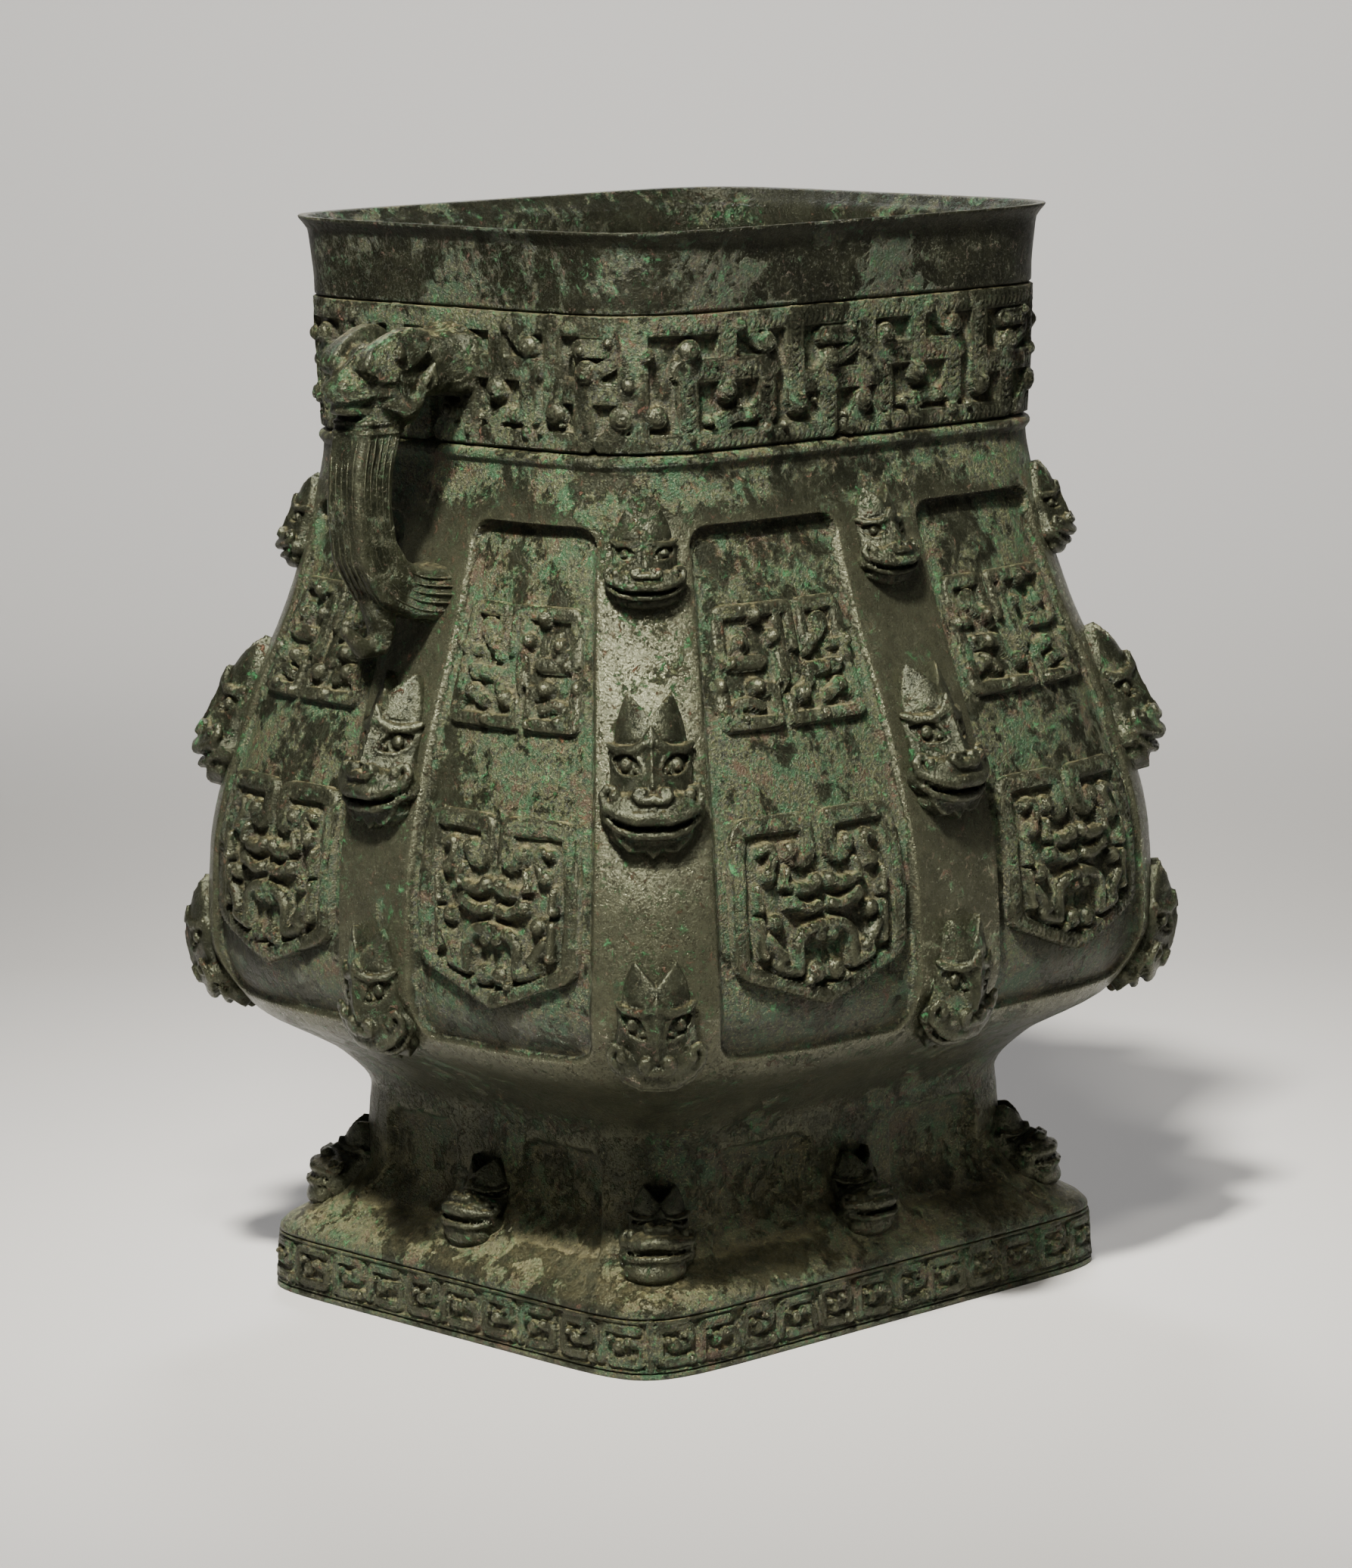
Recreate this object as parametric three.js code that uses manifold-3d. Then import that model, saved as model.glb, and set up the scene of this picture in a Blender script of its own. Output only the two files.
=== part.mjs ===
// Square bronze wine vessel with two beast-headed handles.
// Millimetres, +Z up. The origin is the centre of the foot's underside.
// The wide faces look along -Y and +Y, the narrow faces carry the handles and look along -X and +X.

import * as THREE from 'three';
import { mergeVertices } from 'three/addons/utils/BufferGeometryUtils.js';
import Module from 'manifold-3d';

const wasm = await Module();
wasm.setup();

// Heights of the vessel's stages, from the floor up.
const footBandHeight = 23.5;
const footFlareHeight = 52.5;
const bodyHeight = 244;
const neckHeight = 80;
const lipRollHeight = 6;
const lipEdge = 1;
const cornerRun = 20;

// Width over the narrow faces and depth over the wide faces, at each stage.
const footWidth = 250;
const footDepth = 216;
const waistWidth = 198;
const waistDepth = 173;
const bellyWidth = 308;
const bellyDepth = 284;
const neckWidth = 224;
const neckDepth = 189;
const lipWidth = 234;
const lipDepth = 198;

// Cast walls.
const bodyWall = 3.6;
const neckWall = 5.2;
const lipWall = 3;
const footWall = 6.2;
const floorThickness = 5;

// Raised straps, with the sunk panels between them.
const strapHeight = 3.2;
const bevelWidth = 3.4;
const wideStrapHalf = 20;
const narrowStrapHalf = 17.5;
const cornerStrapTopHalf = 16;
const cornerStrapBellyHalf = 22;
const panelTopDrop = 22;
const panelBottomRise = 39;
const footPanelRise = 11;

// Neck and foot bands of interlaced hooks.
const plainBandHeight = 29;
const ridgeHeight = 3;
const ridgeProud = 1.6;
const neckBandDepth = 2.6;
const neckHookWidth = 5.6;
const footBandMargin = 2;
const footBandDepth = 1.8;
const footHookWidth = 3.6;

// Plaques in the panels.
const plaqueShare = 0.82;
const squareHeight = 42;
const squareTopDrop = 49;
const squareHookWidth = 6;
const shieldHeight = 68;
const shieldTopDrop = 119;
const shieldRimWidth = 6;
const plaqueProud = 2.8;
const plaqueSlot = 4;

// Beast masks on the straps: width, height and how far the muzzle stands out.
const upperMask = { width: 27.5, height: 36, proud: 10.5 };
const middleMask = { width: 35, height: 55, proud: 15 };
const lowerMask = { width: 33, height: 48, proud: 10 };
const footMask = { width: 26, height: 33, proud: 14 };
const upperMaskDrop = 33;
const middleMaskDrop = 104;
const lowerMaskRise = 55;
const footMaskRise = 22.5;

// Handles.
const gripGap = 31;
const handleWidth = 18;
const handleThickness = 17;
const handleTopRise = 31;
const handleBottomDrop = 50;
const headWidth = 33;
const rootWidth = 38;
const rootSpread = 8;
const hornRadius = 9;
const hornThickness = 5;
const hornLean = 0.9;
const earLength = 13;
const eyeRadius = 5;
const spurLength = 20;
const spurRadius = 4.6;
const jointGap = 0.3;

const waistZ = footBandHeight + footFlareHeight;
const ridgeZ = waistZ + bodyHeight;
const lipZ = ridgeZ + neckHeight;
const panelTopZ = ridgeZ - panelTopDrop;
const panelBottomZ = waistZ + panelBottomRise;
const footPanelZ = footBandHeight + footPanelRise;
const neckBandTopZ = lipZ - plainBandHeight;
const neckBandBottomZ = ridgeZ + ridgeHeight;

// The profile: share of the stage's height, then how far between two stages' sizes, then squareness.
// Squareness is the power of the section's superellipse: 2 is an oval, 10 is nearly a rectangle.
const mix = (from, to, share) => from + (to - from) * share;

function stage(z, widths, depths, share, squareness) {
  const width = mix(widths[0], widths[1], share);
  const depth = mix(depths[0], depths[1], share);
  return { z, halfWidth: width / 2, halfDepth: depth / 2, squareness };
}

const footSizes = [[footWidth, waistWidth], [footDepth, waistDepth]];
const underSizes = [[waistWidth, bellyWidth], [waistDepth, bellyDepth]];
const upperSizes = [[bellyWidth, neckWidth], [bellyDepth, neckDepth]];
const neckSizes = [[neckWidth, lipWidth], [neckDepth, lipDepth]];

const bodyZ = (share) => waistZ + bodyHeight * share;
const footZ = (share) => footBandHeight + footFlareHeight * share;

const profile = [
  stage(0, ...footSizes, 0, 10),
  stage(footBandHeight, ...footSizes, 0.06, 10),
  stage(footZ(0.18), ...footSizes, 0.5, 8.5),
  stage(footZ(0.5), ...footSizes, 0.98, 7),
  stage(waistZ, ...footSizes, 1, 6),
  stage(bodyZ(0.065), ...underSizes, 0.25, 4.6),
  stage(bodyZ(0.14), ...underSizes, 0.78, 4),
  stage(bodyZ(0.245), ...underSizes, 1, 4),
  stage(bodyZ(0.375), ...upperSizes, 0.025, 4),
  stage(bodyZ(0.575), ...upperSizes, 0.27, 4),
  stage(bodyZ(0.76), ...upperSizes, 0.64, 4.2),
  stage(bodyZ(0.93), ...upperSizes, 0.91, 4.8),
  stage(ridgeZ, ...upperSizes, 1, 5.6),
  stage(neckBandTopZ, ...neckSizes, 0, 6.5),
  stage(lipZ - lipRollHeight, ...neckSizes, 0.3, 6.5),
  stage(lipZ, ...neckSizes, 1, 6.5),
];

// Smooth interpolation through the stages that never overshoots them.
function slopes(key) {
  const steps = profile.slice(1).map((upper, i) => (upper[key] - profile[i][key]) / (upper.z - profile[i].z));
  return profile.map((_, i) => {
    const below = steps[Math.max(i - 1, 0)];
    const above = steps[Math.min(i, steps.length - 1)];
    return below * above <= 0 ? 0 : (2 * below * above) / (below + above);
  });
}

const keys = ['halfWidth', 'halfDepth', 'squareness'];
const slopeOf = Object.fromEntries(keys.map((key) => [key, slopes(key)]));

function sizesAt(z) {
  const last = profile.length - 2;
  const above = profile.findIndex((level) => level.z > z);
  const i = above < 0 ? last : Math.min(Math.max(above - 1, 0), last);
  const [low, high] = [profile[i], profile[i + 1]];
  const rise = high.z - low.z;
  const t = Math.min(Math.max((z - low.z) / rise, 0), 1);
  const cubic = (key) => {
    const bend = slopeOf[key];
    const ease = t * t * (3 - 2 * t);
    const start = t * (1 - t) * (1 - t) * rise * bend[i];
    const end = t * t * (t - 1) * rise * bend[i + 1];
    return mix(low[key], high[key], ease) + start + end;
  };
  return Object.fromEntries(keys.map((key) => [key, cubic(key)]));
}

// One quarter of a level's section, from the middle of the narrow face to the middle of the wide face.
const quarterSteps = 160;
const sectionCache = new Map();

function quarter(z, inset = 0) {
  const name = `${z} ${inset}`;
  if (sectionCache.has(name)) return sectionCache.get(name);
  const { halfWidth, halfDepth, squareness } = sizesAt(z);
  const a = halfWidth - inset;
  const b = halfDepth - inset;
  const corner = Math.atan2(b, a);
  const points = [];
  let length = 0;
  let toCorner = 0;
  for (let i = 0; i <= quarterSteps; i++) {
    const half = quarterSteps / 2;
    const angle = i <= half ? (corner * i) / half : corner + ((Math.PI / 2 - corner) * (i - half)) / half;
    const c = Math.abs(Math.cos(angle) / a) ** squareness;
    const s = Math.abs(Math.sin(angle) / b) ** squareness;
    const radius = (c + s) ** (-1 / squareness);
    const x = radius * Math.cos(angle);
    const y = radius * Math.sin(angle);
    if (i > 0) length += Math.hypot(x - points[i - 1].x, y - points[i - 1].y);
    if (i === half) toCorner = length;
    points.push({ x, y, length });
  }
  const found = { points, narrowHalf: toCorner, wideHalf: length - toCorner, length };
  sectionCache.set(name, found);
  return found;
}

// Eight anchors round a level, counterclockwise from +X: the even ones are face middles, the odd ones corners.
const anchorCount = 8;

function anchorLength(anchor, section) {
  const quarters = Math.floor(anchor / 2);
  const startsNarrow = quarters % 2 === 0;
  const part = anchor % 2 === 0 ? 0 : startsNarrow ? section.narrowHalf : section.wideHalf;
  return quarters * section.length + part;
}

function pointAlong(section, distance) {
  const whole = 4 * section.length;
  const d = ((distance % whole) + whole) % whole;
  const q = Math.floor(d / section.length) % 4;
  const rest = d - q * section.length;
  const along = q % 2 === 0 ? rest : section.length - rest;
  const { points } = section;
  let low = 0;
  let high = points.length - 1;
  while (high - low > 1) {
    const middle = (low + high) >> 1;
    if (points[middle].length <= along) low = middle;
    else high = middle;
  }
  const t = (along - points[low].length) / (points[high].length - points[low].length);
  const x = mix(points[low].x, points[high].x, t);
  const y = mix(points[low].y, points[high].y, t);
  return { x: q === 0 || q === 3 ? x : -x, y: q < 2 ? y : -y };
}

function wallPoint(anchor, offset, z, inset = 0) {
  const section = quarter(z, inset);
  const { x, y } = pointAlong(section, anchorLength(anchor, section) + offset);
  return new THREE.Vector3(x, y, z);
}

// Outward direction of the wall at a point.
const probe = 0.5;

function wallNormal(anchor, offset, z) {
  const along = wallPoint(anchor, offset + probe, z).sub(wallPoint(anchor, offset - probe, z));
  const low = Math.max(z - probe, 0);
  const up = wallPoint(anchor, offset, low + 2 * probe).sub(wallPoint(anchor, offset, low));
  return along.cross(up).normalize();
}

// Half width of the straps and the run of a panel between them.
const bellyZ = bodyZ(0.245);

function cornerStrapHalf(z) {
  const share = Math.min(Math.max((panelTopZ - z) / (panelTopZ - bellyZ), 0), 1);
  return mix(cornerStrapTopHalf, cornerStrapBellyHalf, share);
}

function faceHalf(face, z) {
  const section = quarter(z);
  return face % 4 === 0 ? section.narrowHalf : section.wideHalf;
}

const middleStrapHalf = (face) => (face % 4 === 0 ? narrowStrapHalf : wideStrapHalf);

function panelRun(face, z) {
  const inner = middleStrapHalf(face);
  const outer = faceHalf(face, z) - cornerStrapHalf(z);
  return { centre: (inner + outer) / 2, half: (outer - inner) / 2 };
}

// Solids: a closed mesh becomes a solid that can be joined and cut.
function toSolid(geometry) {
  geometry.deleteAttribute('normal');
  geometry.deleteAttribute('uv');
  const merged = mergeVertices(geometry, 1e-4);
  const vertProperties = new Float32Array(merged.attributes.position.array);
  const triVerts = new Uint32Array(merged.index.array);
  const corner = (k) => new THREE.Vector3().fromArray(vertProperties, 3 * triVerts[k]);
  let volume = 0;
  for (let k = 0; k < triVerts.length; k += 3) {
    volume += corner(k).dot(corner(k + 1).cross(corner(k + 2)));
  }
  if (volume < 0) {
    for (let k = 0; k < triVerts.length; k += 3) {
      [triVerts[k], triVerts[k + 1]] = [triVerts[k + 1], triVerts[k]];
    }
  }
  return new wasm.Manifold(new wasm.Mesh({ numProp: 3, vertProperties, triVerts }));
}

function toGeometry(solid) {
  const { vertProperties, triVerts, numProp } = solid.getMesh();
  const geometry = new THREE.BufferGeometry();
  const positions = new Float32Array((vertProperties.length / numProp) * 3);
  for (let i = 0; i < positions.length; i++) {
    positions[i] = vertProperties[Math.floor(i / 3) * numProp + (i % 3)];
  }
  geometry.setAttribute('position', new THREE.BufferAttribute(positions, 3));
  geometry.setIndex(new THREE.BufferAttribute(new Uint32Array(triVerts), 1));
  geometry.computeVertexNormals();
  return geometry;
}

function meshFrom(points, faces) {
  const geometry = new THREE.BufferGeometry().setFromPoints(points);
  geometry.setIndex(faces.flat());
  return geometry;
}

// Stacked rings of equal size, closed by a flat fan at each end.
function loftSolid(rings) {
  const count = rings[0].length;
  const points = rings.flat();
  const faces = [];
  for (let r = 0; r + 1 < rings.length; r++) {
    for (let i = 0; i < count; i++) {
      const j = (i + 1) % count;
      const [a, b] = [r * count + i, r * count + j];
      faces.push([a, b, b + count], [a, b + count, a + count]);
    }
  }
  for (const [r, flip] of [[0, true], [rings.length - 1, false]]) {
    const middle = points.length;
    const ring = rings[r];
    points.push(ring.reduce((sum, p) => sum.add(p), new THREE.Vector3()).divideScalar(count));
    for (let i = 0; i < count; i++) {
      const [a, b] = [r * count + i, r * count + ((i + 1) % count)];
      faces.push(flip ? [b, a, middle] : [a, b, middle]);
    }
  }
  return toSolid(meshFrom(points, faces));
}

const joined = (solids) => solids.reduce((sum, solid) => sum.add(solid));

// Columns of the outer wall between two anchors: strap edges, bevels and panel floors.
function wallColumns(z) {
  const columns = [];
  for (let anchor = 0; anchor < anchorCount; anchor++) {
    const atMiddle = anchor % 2 === 0;
    const face = atMiddle ? anchor : (anchor + 1) % anchorCount;
    const inner = middleStrapHalf(face);
    const outer = cornerStrapHalf(z);
    const length = faceHalf(face, z);
    const fromMiddle = [
      [inner, 0], [inner + bevelWidth, 1], [panelRun(face, z).centre, 1],
      [length - outer - bevelWidth, 1], [length - outer, 0],
    ];
    const fromCorner = [
      [0, 0], [outer, 0], [outer + bevelWidth, 1],
      [length - panelRun(face, z).centre, 1], [length - inner - bevelWidth, 1], [length - inner, 0],
    ];
    for (const [offset, floor] of atMiddle ? fromMiddle : fromCorner) {
      columns.push({ anchor, offset, floor });
    }
  }
  return columns;
}

// Columns of the neck and of the foot's band, which have no panels.
function bandColumns() {
  const columns = [];
  for (let anchor = 0; anchor < anchorCount; anchor++) {
    const offsets = anchor % 2 === 0 ? [0] : [-cornerRun, -cornerRun / 3, cornerRun / 3, cornerRun];
    for (const offset of offsets) columns.push({ anchor, offset, floor: 0 });
  }
  return columns;
}

// Rows of the wall. panel is 1 where the panel floors are sunk, lift moves the whole row out or in.
const row = (z, lift = 0, panel = 0) => ({ z, lift, panel });
const bodyRow = (share) => row(bodyZ(share), 0, 1);
const seamCover = 4;

const footBandRows = [
  row(0), row(footBandMargin), row(footBandMargin, -footBandDepth),
  row(footBandHeight - footBandMargin, -footBandDepth), row(footBandHeight - footBandMargin), row(footBandHeight),
];

const bodyRows = [
  row(footBandHeight - seamCover, -footWall / 2), row(footBandHeight, -footBandMargin / 4), row(footPanelZ),
  row(footPanelZ + bevelWidth, 0, 1), row(footZ(0.5), 0, 1), row(waistZ - 2 * bevelWidth, 0, 1), row(waistZ),
  row(bodyZ(0.065)), row(bodyZ(0.11)), row(panelBottomZ),
  row(panelBottomZ + bevelWidth, 0, 1), bodyRow(0.26), bodyRow(0.41), bodyRow(0.58), bodyRow(0.76),
  row(panelTopZ - bevelWidth, 0, 1), row(panelTopZ), row(ridgeZ - ridgeHeight),
  row(ridgeZ - ridgeHeight / 2, ridgeProud), row(ridgeZ + ridgeHeight / 2, ridgeProud),
  row(neckBandBottomZ, -neckBandDepth - seamCover / 4),
];

const neckRows = [
  row(ridgeZ - seamCover, -neckWall / 2), row(ridgeZ, -neckBandDepth), row(neckBandTopZ, -neckBandDepth),
  row(neckBandTopZ), row(lipZ - lipRollHeight), row(lipZ - lipEdge), row(lipZ, -lipEdge / 2),
];

function horizontalNormal(anchor, offset, z) {
  const along = wallPoint(anchor, offset + probe, z).sub(wallPoint(anchor, offset - probe, z));
  return new THREE.Vector3(along.y, -along.x, 0).normalize();
}

function wallLoft(rows, columnsAt, sinkPanels, grow) {
  const rings = rows.map(({ z, lift, panel }) => columnsAt(z).map(({ anchor, offset, floor }) => {
    const sunk = sinkPanels && panel && floor ? strapHeight : 0;
    const out = horizontalNormal(anchor, offset, z).multiplyScalar(grow + lift - sunk);
    return wallPoint(anchor, offset, z).add(out);
  }));
  return loftSolid(rings);
}

// Hollows are lofts with fewer columns, set in from the wall.
function hollow(levels) {
  const rings = levels.map(({ z, from, inset }) => {
    const ring = [];
    const section = quarter(from, inset);
    for (let anchor = 0; anchor < anchorCount; anchor++) {
      const next = anchorLength(anchor + 1, section) - anchorLength(anchor, section);
      const shares = anchor % 2 === 0 ? [0, 0.55, 0.82] : [0, 0.18, 0.45];
      for (const share of shares) {
        const { x, y } = pointAlong(section, anchorLength(anchor, section) + share * next);
        ring.push(new THREE.Vector3(x, y, z));
      }
    }
    return ring;
  });
  return loftSolid(rings);
}

const bodyInset = bodyWall + strapHeight;
const floorTopZ = waistZ + floorThickness;
const level = (z, inset, from = z) => ({ z, inset, from });

const bodyHollow = () => hollow([
  level(floorTopZ, bodyInset, mix(waistZ, bodyZ(0.065), 0.4)),
  level(bodyZ(0.14), bodyInset * 1.2), level(bodyZ(0.2), bodyInset), level(bodyZ(0.28), bodyInset),
  level(bodyZ(0.41), bodyInset), level(bodyZ(0.58), bodyInset), level(bodyZ(0.76), bodyInset),
  level(ridgeZ, neckWall), level(lipZ - lipRollHeight, neckWall), level(lipZ, lipWall),
  level(lipZ + lipRollHeight, lipWall, lipZ),
]);

const footHollow = () => hollow([
  level(-footBandHeight, footWall, 0), level(footBandHeight * 0.6, footWall),
  level(footBandHeight, footWall, footZ(0.18)), level(footZ(0.42), bodyInset, footZ(0.5)),
  level(waistZ - floorThickness / 2, bodyInset, waistZ - floorThickness / 2),
  level(waistZ, bodyInset, waistZ),
]);

// A flat outline stamped on the wall: place turns an outline point into anchor, offset and z.
const longestEdge = 44;

function finerOutline(outline) {
  return outline.flatMap((start, i) => {
    const end = outline[(i + 1) % outline.length];
    const parts = Math.ceil(Math.hypot(end[0] - start[0], end[1] - start[1]) / longestEdge);
    return Array.from({ length: parts }, (_, k) => [
      mix(start[0], end[0], k / parts), mix(start[1], end[1], k / parts),
    ]);
  });
}

function stamp(outline, place, bottom, top, hole = []) {
  const flat = (line) => line.map((p) => new THREE.Vector2(...p));
  const shape = new THREE.Shape(flat(outline));
  if (hole.length > 0) shape.holes.push(new THREE.Path(flat(hole)));
  const geometry = new THREE.ExtrudeGeometry(shape, { depth: 1, bevelEnabled: false, steps: 1 });
  const position = geometry.attributes.position;
  for (let i = 0; i < position.count; i++) {
    const { anchor, offset, z } = place(position.getX(i), position.getY(i));
    const lift = mix(bottom, top, position.getZ(i));
    const p = wallPoint(anchor, offset, z).addScaledVector(wallNormal(anchor, offset, z), lift);
    position.setXYZ(i, p.x, p.y, p.z);
  }
  return toSolid(geometry);
}

// The outline of a band of even width along a bent line.
function bandOutline(line, width) {
  const points = line.map((p) => new THREE.Vector2(...p));
  const side = (sign) => points.map((p, i) => {
    const before = points[Math.max(i - 1, 0)];
    const after = points[Math.min(i + 1, points.length - 1)];
    const into = p.clone().sub(before).normalize();
    const out = after.clone().sub(p).normalize();
    const way = i === 0 ? out : i === points.length - 1 ? into : into.clone().add(out).normalize();
    const ahead = i === 0 ? out : into;
    const mitre = 1 / Math.max(way.dot(ahead), 0.5);
    return [p.x - way.y * sign * mitre * width / 2, p.y + way.x * sign * mitre * width / 2];
  });
  return [...side(-1), ...side(1).reverse()];
}

// Square plaque: two mirrored hooks with a slot between them.
const panelFloor = -strapHeight;
const stampSink = 3.2;
const squareTopZ = ridgeZ - squareTopDrop;
const shieldTopZ = ridgeZ - shieldTopDrop;

function panelPlace(face, side, topZ) {
  return (u, v) => {
    const z = topZ + v;
    const run = panelRun(face, topZ);
    const here = panelRun(face, z);
    return { anchor: face, offset: side * (here.centre + (u * here.half) / run.half), z };
  };
}

function squarePlaque(face, side) {
  const place = panelPlace(face, side, squareTopZ);
  const halfWidth = panelRun(face, squareTopZ).half * plaqueShare;
  const w = squareHookWidth;
  const hooks = [-1, 1].map((hand) => {
    const outer = hand * (halfWidth - w / 2);
    const inner = hand * (plaqueSlot / 2 + w / 2);
    const line = [
      [inner, -w / 2], [outer, -w / 2], [outer, -squareHeight + w / 2],
      [inner, -squareHeight + w / 2], [inner, -squareHeight * 0.45],
    ];
    return stamp(finerOutline(bandOutline(line, w)), place, panelFloor - stampSink, panelFloor + plaqueProud);
  });
  return joined(hooks);
}

// Shield plaque: a rim with a notch at the top and a point at the foot, round a beast's muzzle.
function shieldPlaque(face, side) {
  const place = panelPlace(face, side, shieldTopZ);
  const half = panelRun(face, shieldTopZ).half * plaqueShare;
  const [w, tall] = [shieldRimWidth, shieldHeight];
  const mirrored = (right) => [...right, ...right.filter(([u]) => u > 0).reverse().map(([u, v]) => [-u, v])];
  const bow = half * 1.04;
  const rim = mirrored([
    [0, -w * 1.8], [plaqueSlot, 0], [half, 0], [bow, -tall * 0.4], [half, -tall * 0.8], [0, -tall],
  ]);
  const inside = mirrored([
    [0, -w * 3], [half - w, -w], [bow - w, -tall * 0.4], [half - w, w * 0.6 - tall * 0.8], [0, w * 1.2 - tall],
  ]);
  const muzzle = mirrored([[0, -tall * 0.34], [half * 0.14, -tall * 0.56], [half * 0.3, -tall * 0.78]]);
  const [low, high] = [panelFloor - stampSink, panelFloor + plaqueProud];
  return joined([stamp(rim, place, low, high, inside.reverse()), stamp(muzzle, place, low, high)]);
}

// Bands of angular hooks. With curl each hook turns in again at its end.
const hookSink = 2.2;
const hookTop = -0.5;

function hookBand(lowZ, highZ, depth, width, cellsPerHalfFace, curl) {
  const height = highZ - lowZ;
  const hooks = [];
  for (let anchor = 0; anchor < anchorCount; anchor++) {
    const face = anchor % 2 === 0 ? anchor : (anchor + 1) % anchorCount;
    const run = faceHalf(face, (lowZ + highZ) / 2);
    const cell = run / cellsPerHalfFace;
    const place = (start) => (u, v) => ({ anchor, offset: start + u, z: lowZ + v });
    for (let i = 0; i < cellsPerHalfFace; i++) {
      const left = width * 0.8;
      const right = cell - width * 0.8;
      const low = width * 0.7;
      const high = height - width * 0.7;
      const bend = mix(left, right, 0.6);
      const tail = curl ? [[right, high], [right, height / 2]] : [];
      const line = [[curl ? bend : right, low], [left, low], [left, high], ...tail];
      hooks.push(stamp(finerOutline(bandOutline(line, width)), place(i * cell), -depth - hookSink, hookTop));
    }
  }
  return joined(hooks);
}

// A beast mask. Right half from chin to brow: share of half width, share of height, share of proud.
const maskHalf = [
  [0, 0, 0.35], [0.6, 0.06, 0.32], [1, 0.27, 0.45], [0.84, 0.62, 0.16], [0.48, 1, 0.16], [0, 0.74, 0.2],
  [0, 0.14, 0.66], [0, 0.31, 1], [0, 0.58, 0.66], [0.55, 0.26, 0.82], [0.46, 0.5, 0.6], [0.44, 0.7, 0.5],
];
const maskFaces = [
  [0, 1, 6], [1, 9, 6], [1, 2, 9], [6, 9, 7], [2, 10, 9], [9, 10, 7], [7, 10, 8], [2, 3, 10],
  [3, 11, 10], [10, 11, 8], [3, 4, 11], [4, 5, 11], [11, 5, 8],
];
const maskRim = 6;

function mask(anchor, centreZ, { width, height, proud }, sink) {
  const bottomZ = centreZ - height / 2;
  const across = wallPoint(anchor, probe, centreZ).sub(wallPoint(anchor, -probe, centreZ)).normalize();
  const at = ([u, v, lift], hand) => {
    const z = bottomZ + v * height;
    const out = wallNormal(anchor, 0, z).multiplyScalar(lift * proud);
    return wallPoint(anchor, 0, z).add(out).addScaledVector(across, hand * u * width / 2);
  };
  const points = [];
  const rightIndex = maskHalf.map((p) => points.push(at(p, 1)) - 1);
  const leftIndex = maskHalf.map((p, i) => (p[0] === 0 ? rightIndex[i] : points.push(at(p, -1)) - 1));
  const faces = maskFaces.flatMap(([a, b, c]) => [
    [rightIndex[a], rightIndex[b], rightIndex[c]], [leftIndex[b], leftIndex[a], leftIndex[c]],
  ]);
  const rim = [];
  for (let i = 0; i < maskRim; i++) rim.push(rightIndex[i]);
  for (let i = maskRim - 2; i > 0; i--) rim.push(leftIndex[i]);
  const behind = wallNormal(anchor, 0, centreZ).multiplyScalar(-sink);
  const back = rim.map((index) => points.push(points[index].clone().add(behind)) - 1);
  const middle = points.push(wallPoint(anchor, 0, centreZ).add(behind)) - 1;
  rim.forEach((index, i) => {
    const j = (i + 1) % rim.length;
    faces.push([rim[j], index, back[i]], [rim[j], back[i], back[j]], [back[j], back[i], middle]);
  });
  return toSolid(meshFrom(points, faces));
}

function allMasks() {
  const places = [];
  for (let anchor = 0; anchor < anchorCount; anchor++) {
    const handleFace = anchor % 4 === 0;
    if (!handleFace) places.push([anchor, ridgeZ - upperMaskDrop, upperMask]);
    places.push([anchor, ridgeZ - middleMaskDrop, middleMask]);
    places.push([anchor, waistZ + lowerMaskRise, lowerMask]);
    places.push([anchor, footBandHeight + footMaskRise, footMask]);
  }
  return joined(places.map(([anchor, z, size]) => mask(anchor, z, size, size.proud)));
}

function vesselSolid() {
  const panels = [0, 2, 4, 6].flatMap((face) => [-1, 1].flatMap((side) => [
    squarePlaque(face, side), shieldPlaque(face, side),
  ]));
  const neckBand = hookBand(neckBandBottomZ, neckBandTopZ, neckBandDepth, neckHookWidth, 2, true);
  const footBand = hookBand(footBandMargin, footBandHeight - footBandMargin, footBandDepth, footHookWidth, 2, false);
  const walls = [
    wallLoft(footBandRows, bandColumns, false, 0), wallLoft(bodyRows, wallColumns, true, 0),
    wallLoft(neckRows, bandColumns, false, 0),
  ];
  const solid = joined([...walls, ...panels, neckBand, footBand, allMasks()]);
  return solid.subtract(bodyHollow()).subtract(footHollow());
}

// A handle: a loop from the neck to the body, under a beast's head that bites it.
// It is drawn on the +X face, in its own plane: reach is out from the wall's middle, z is up.
const handleTopZ = ridgeZ + handleTopRise;
const handleBottomZ = ridgeZ - handleBottomDrop;
const gripZ = (handleTopZ + handleBottomZ) / 2;
const wallReach = (z) => sizesAt(z).halfWidth;
const gripReach = wallReach(gripZ) + gripGap + handleThickness / 2;

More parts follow.
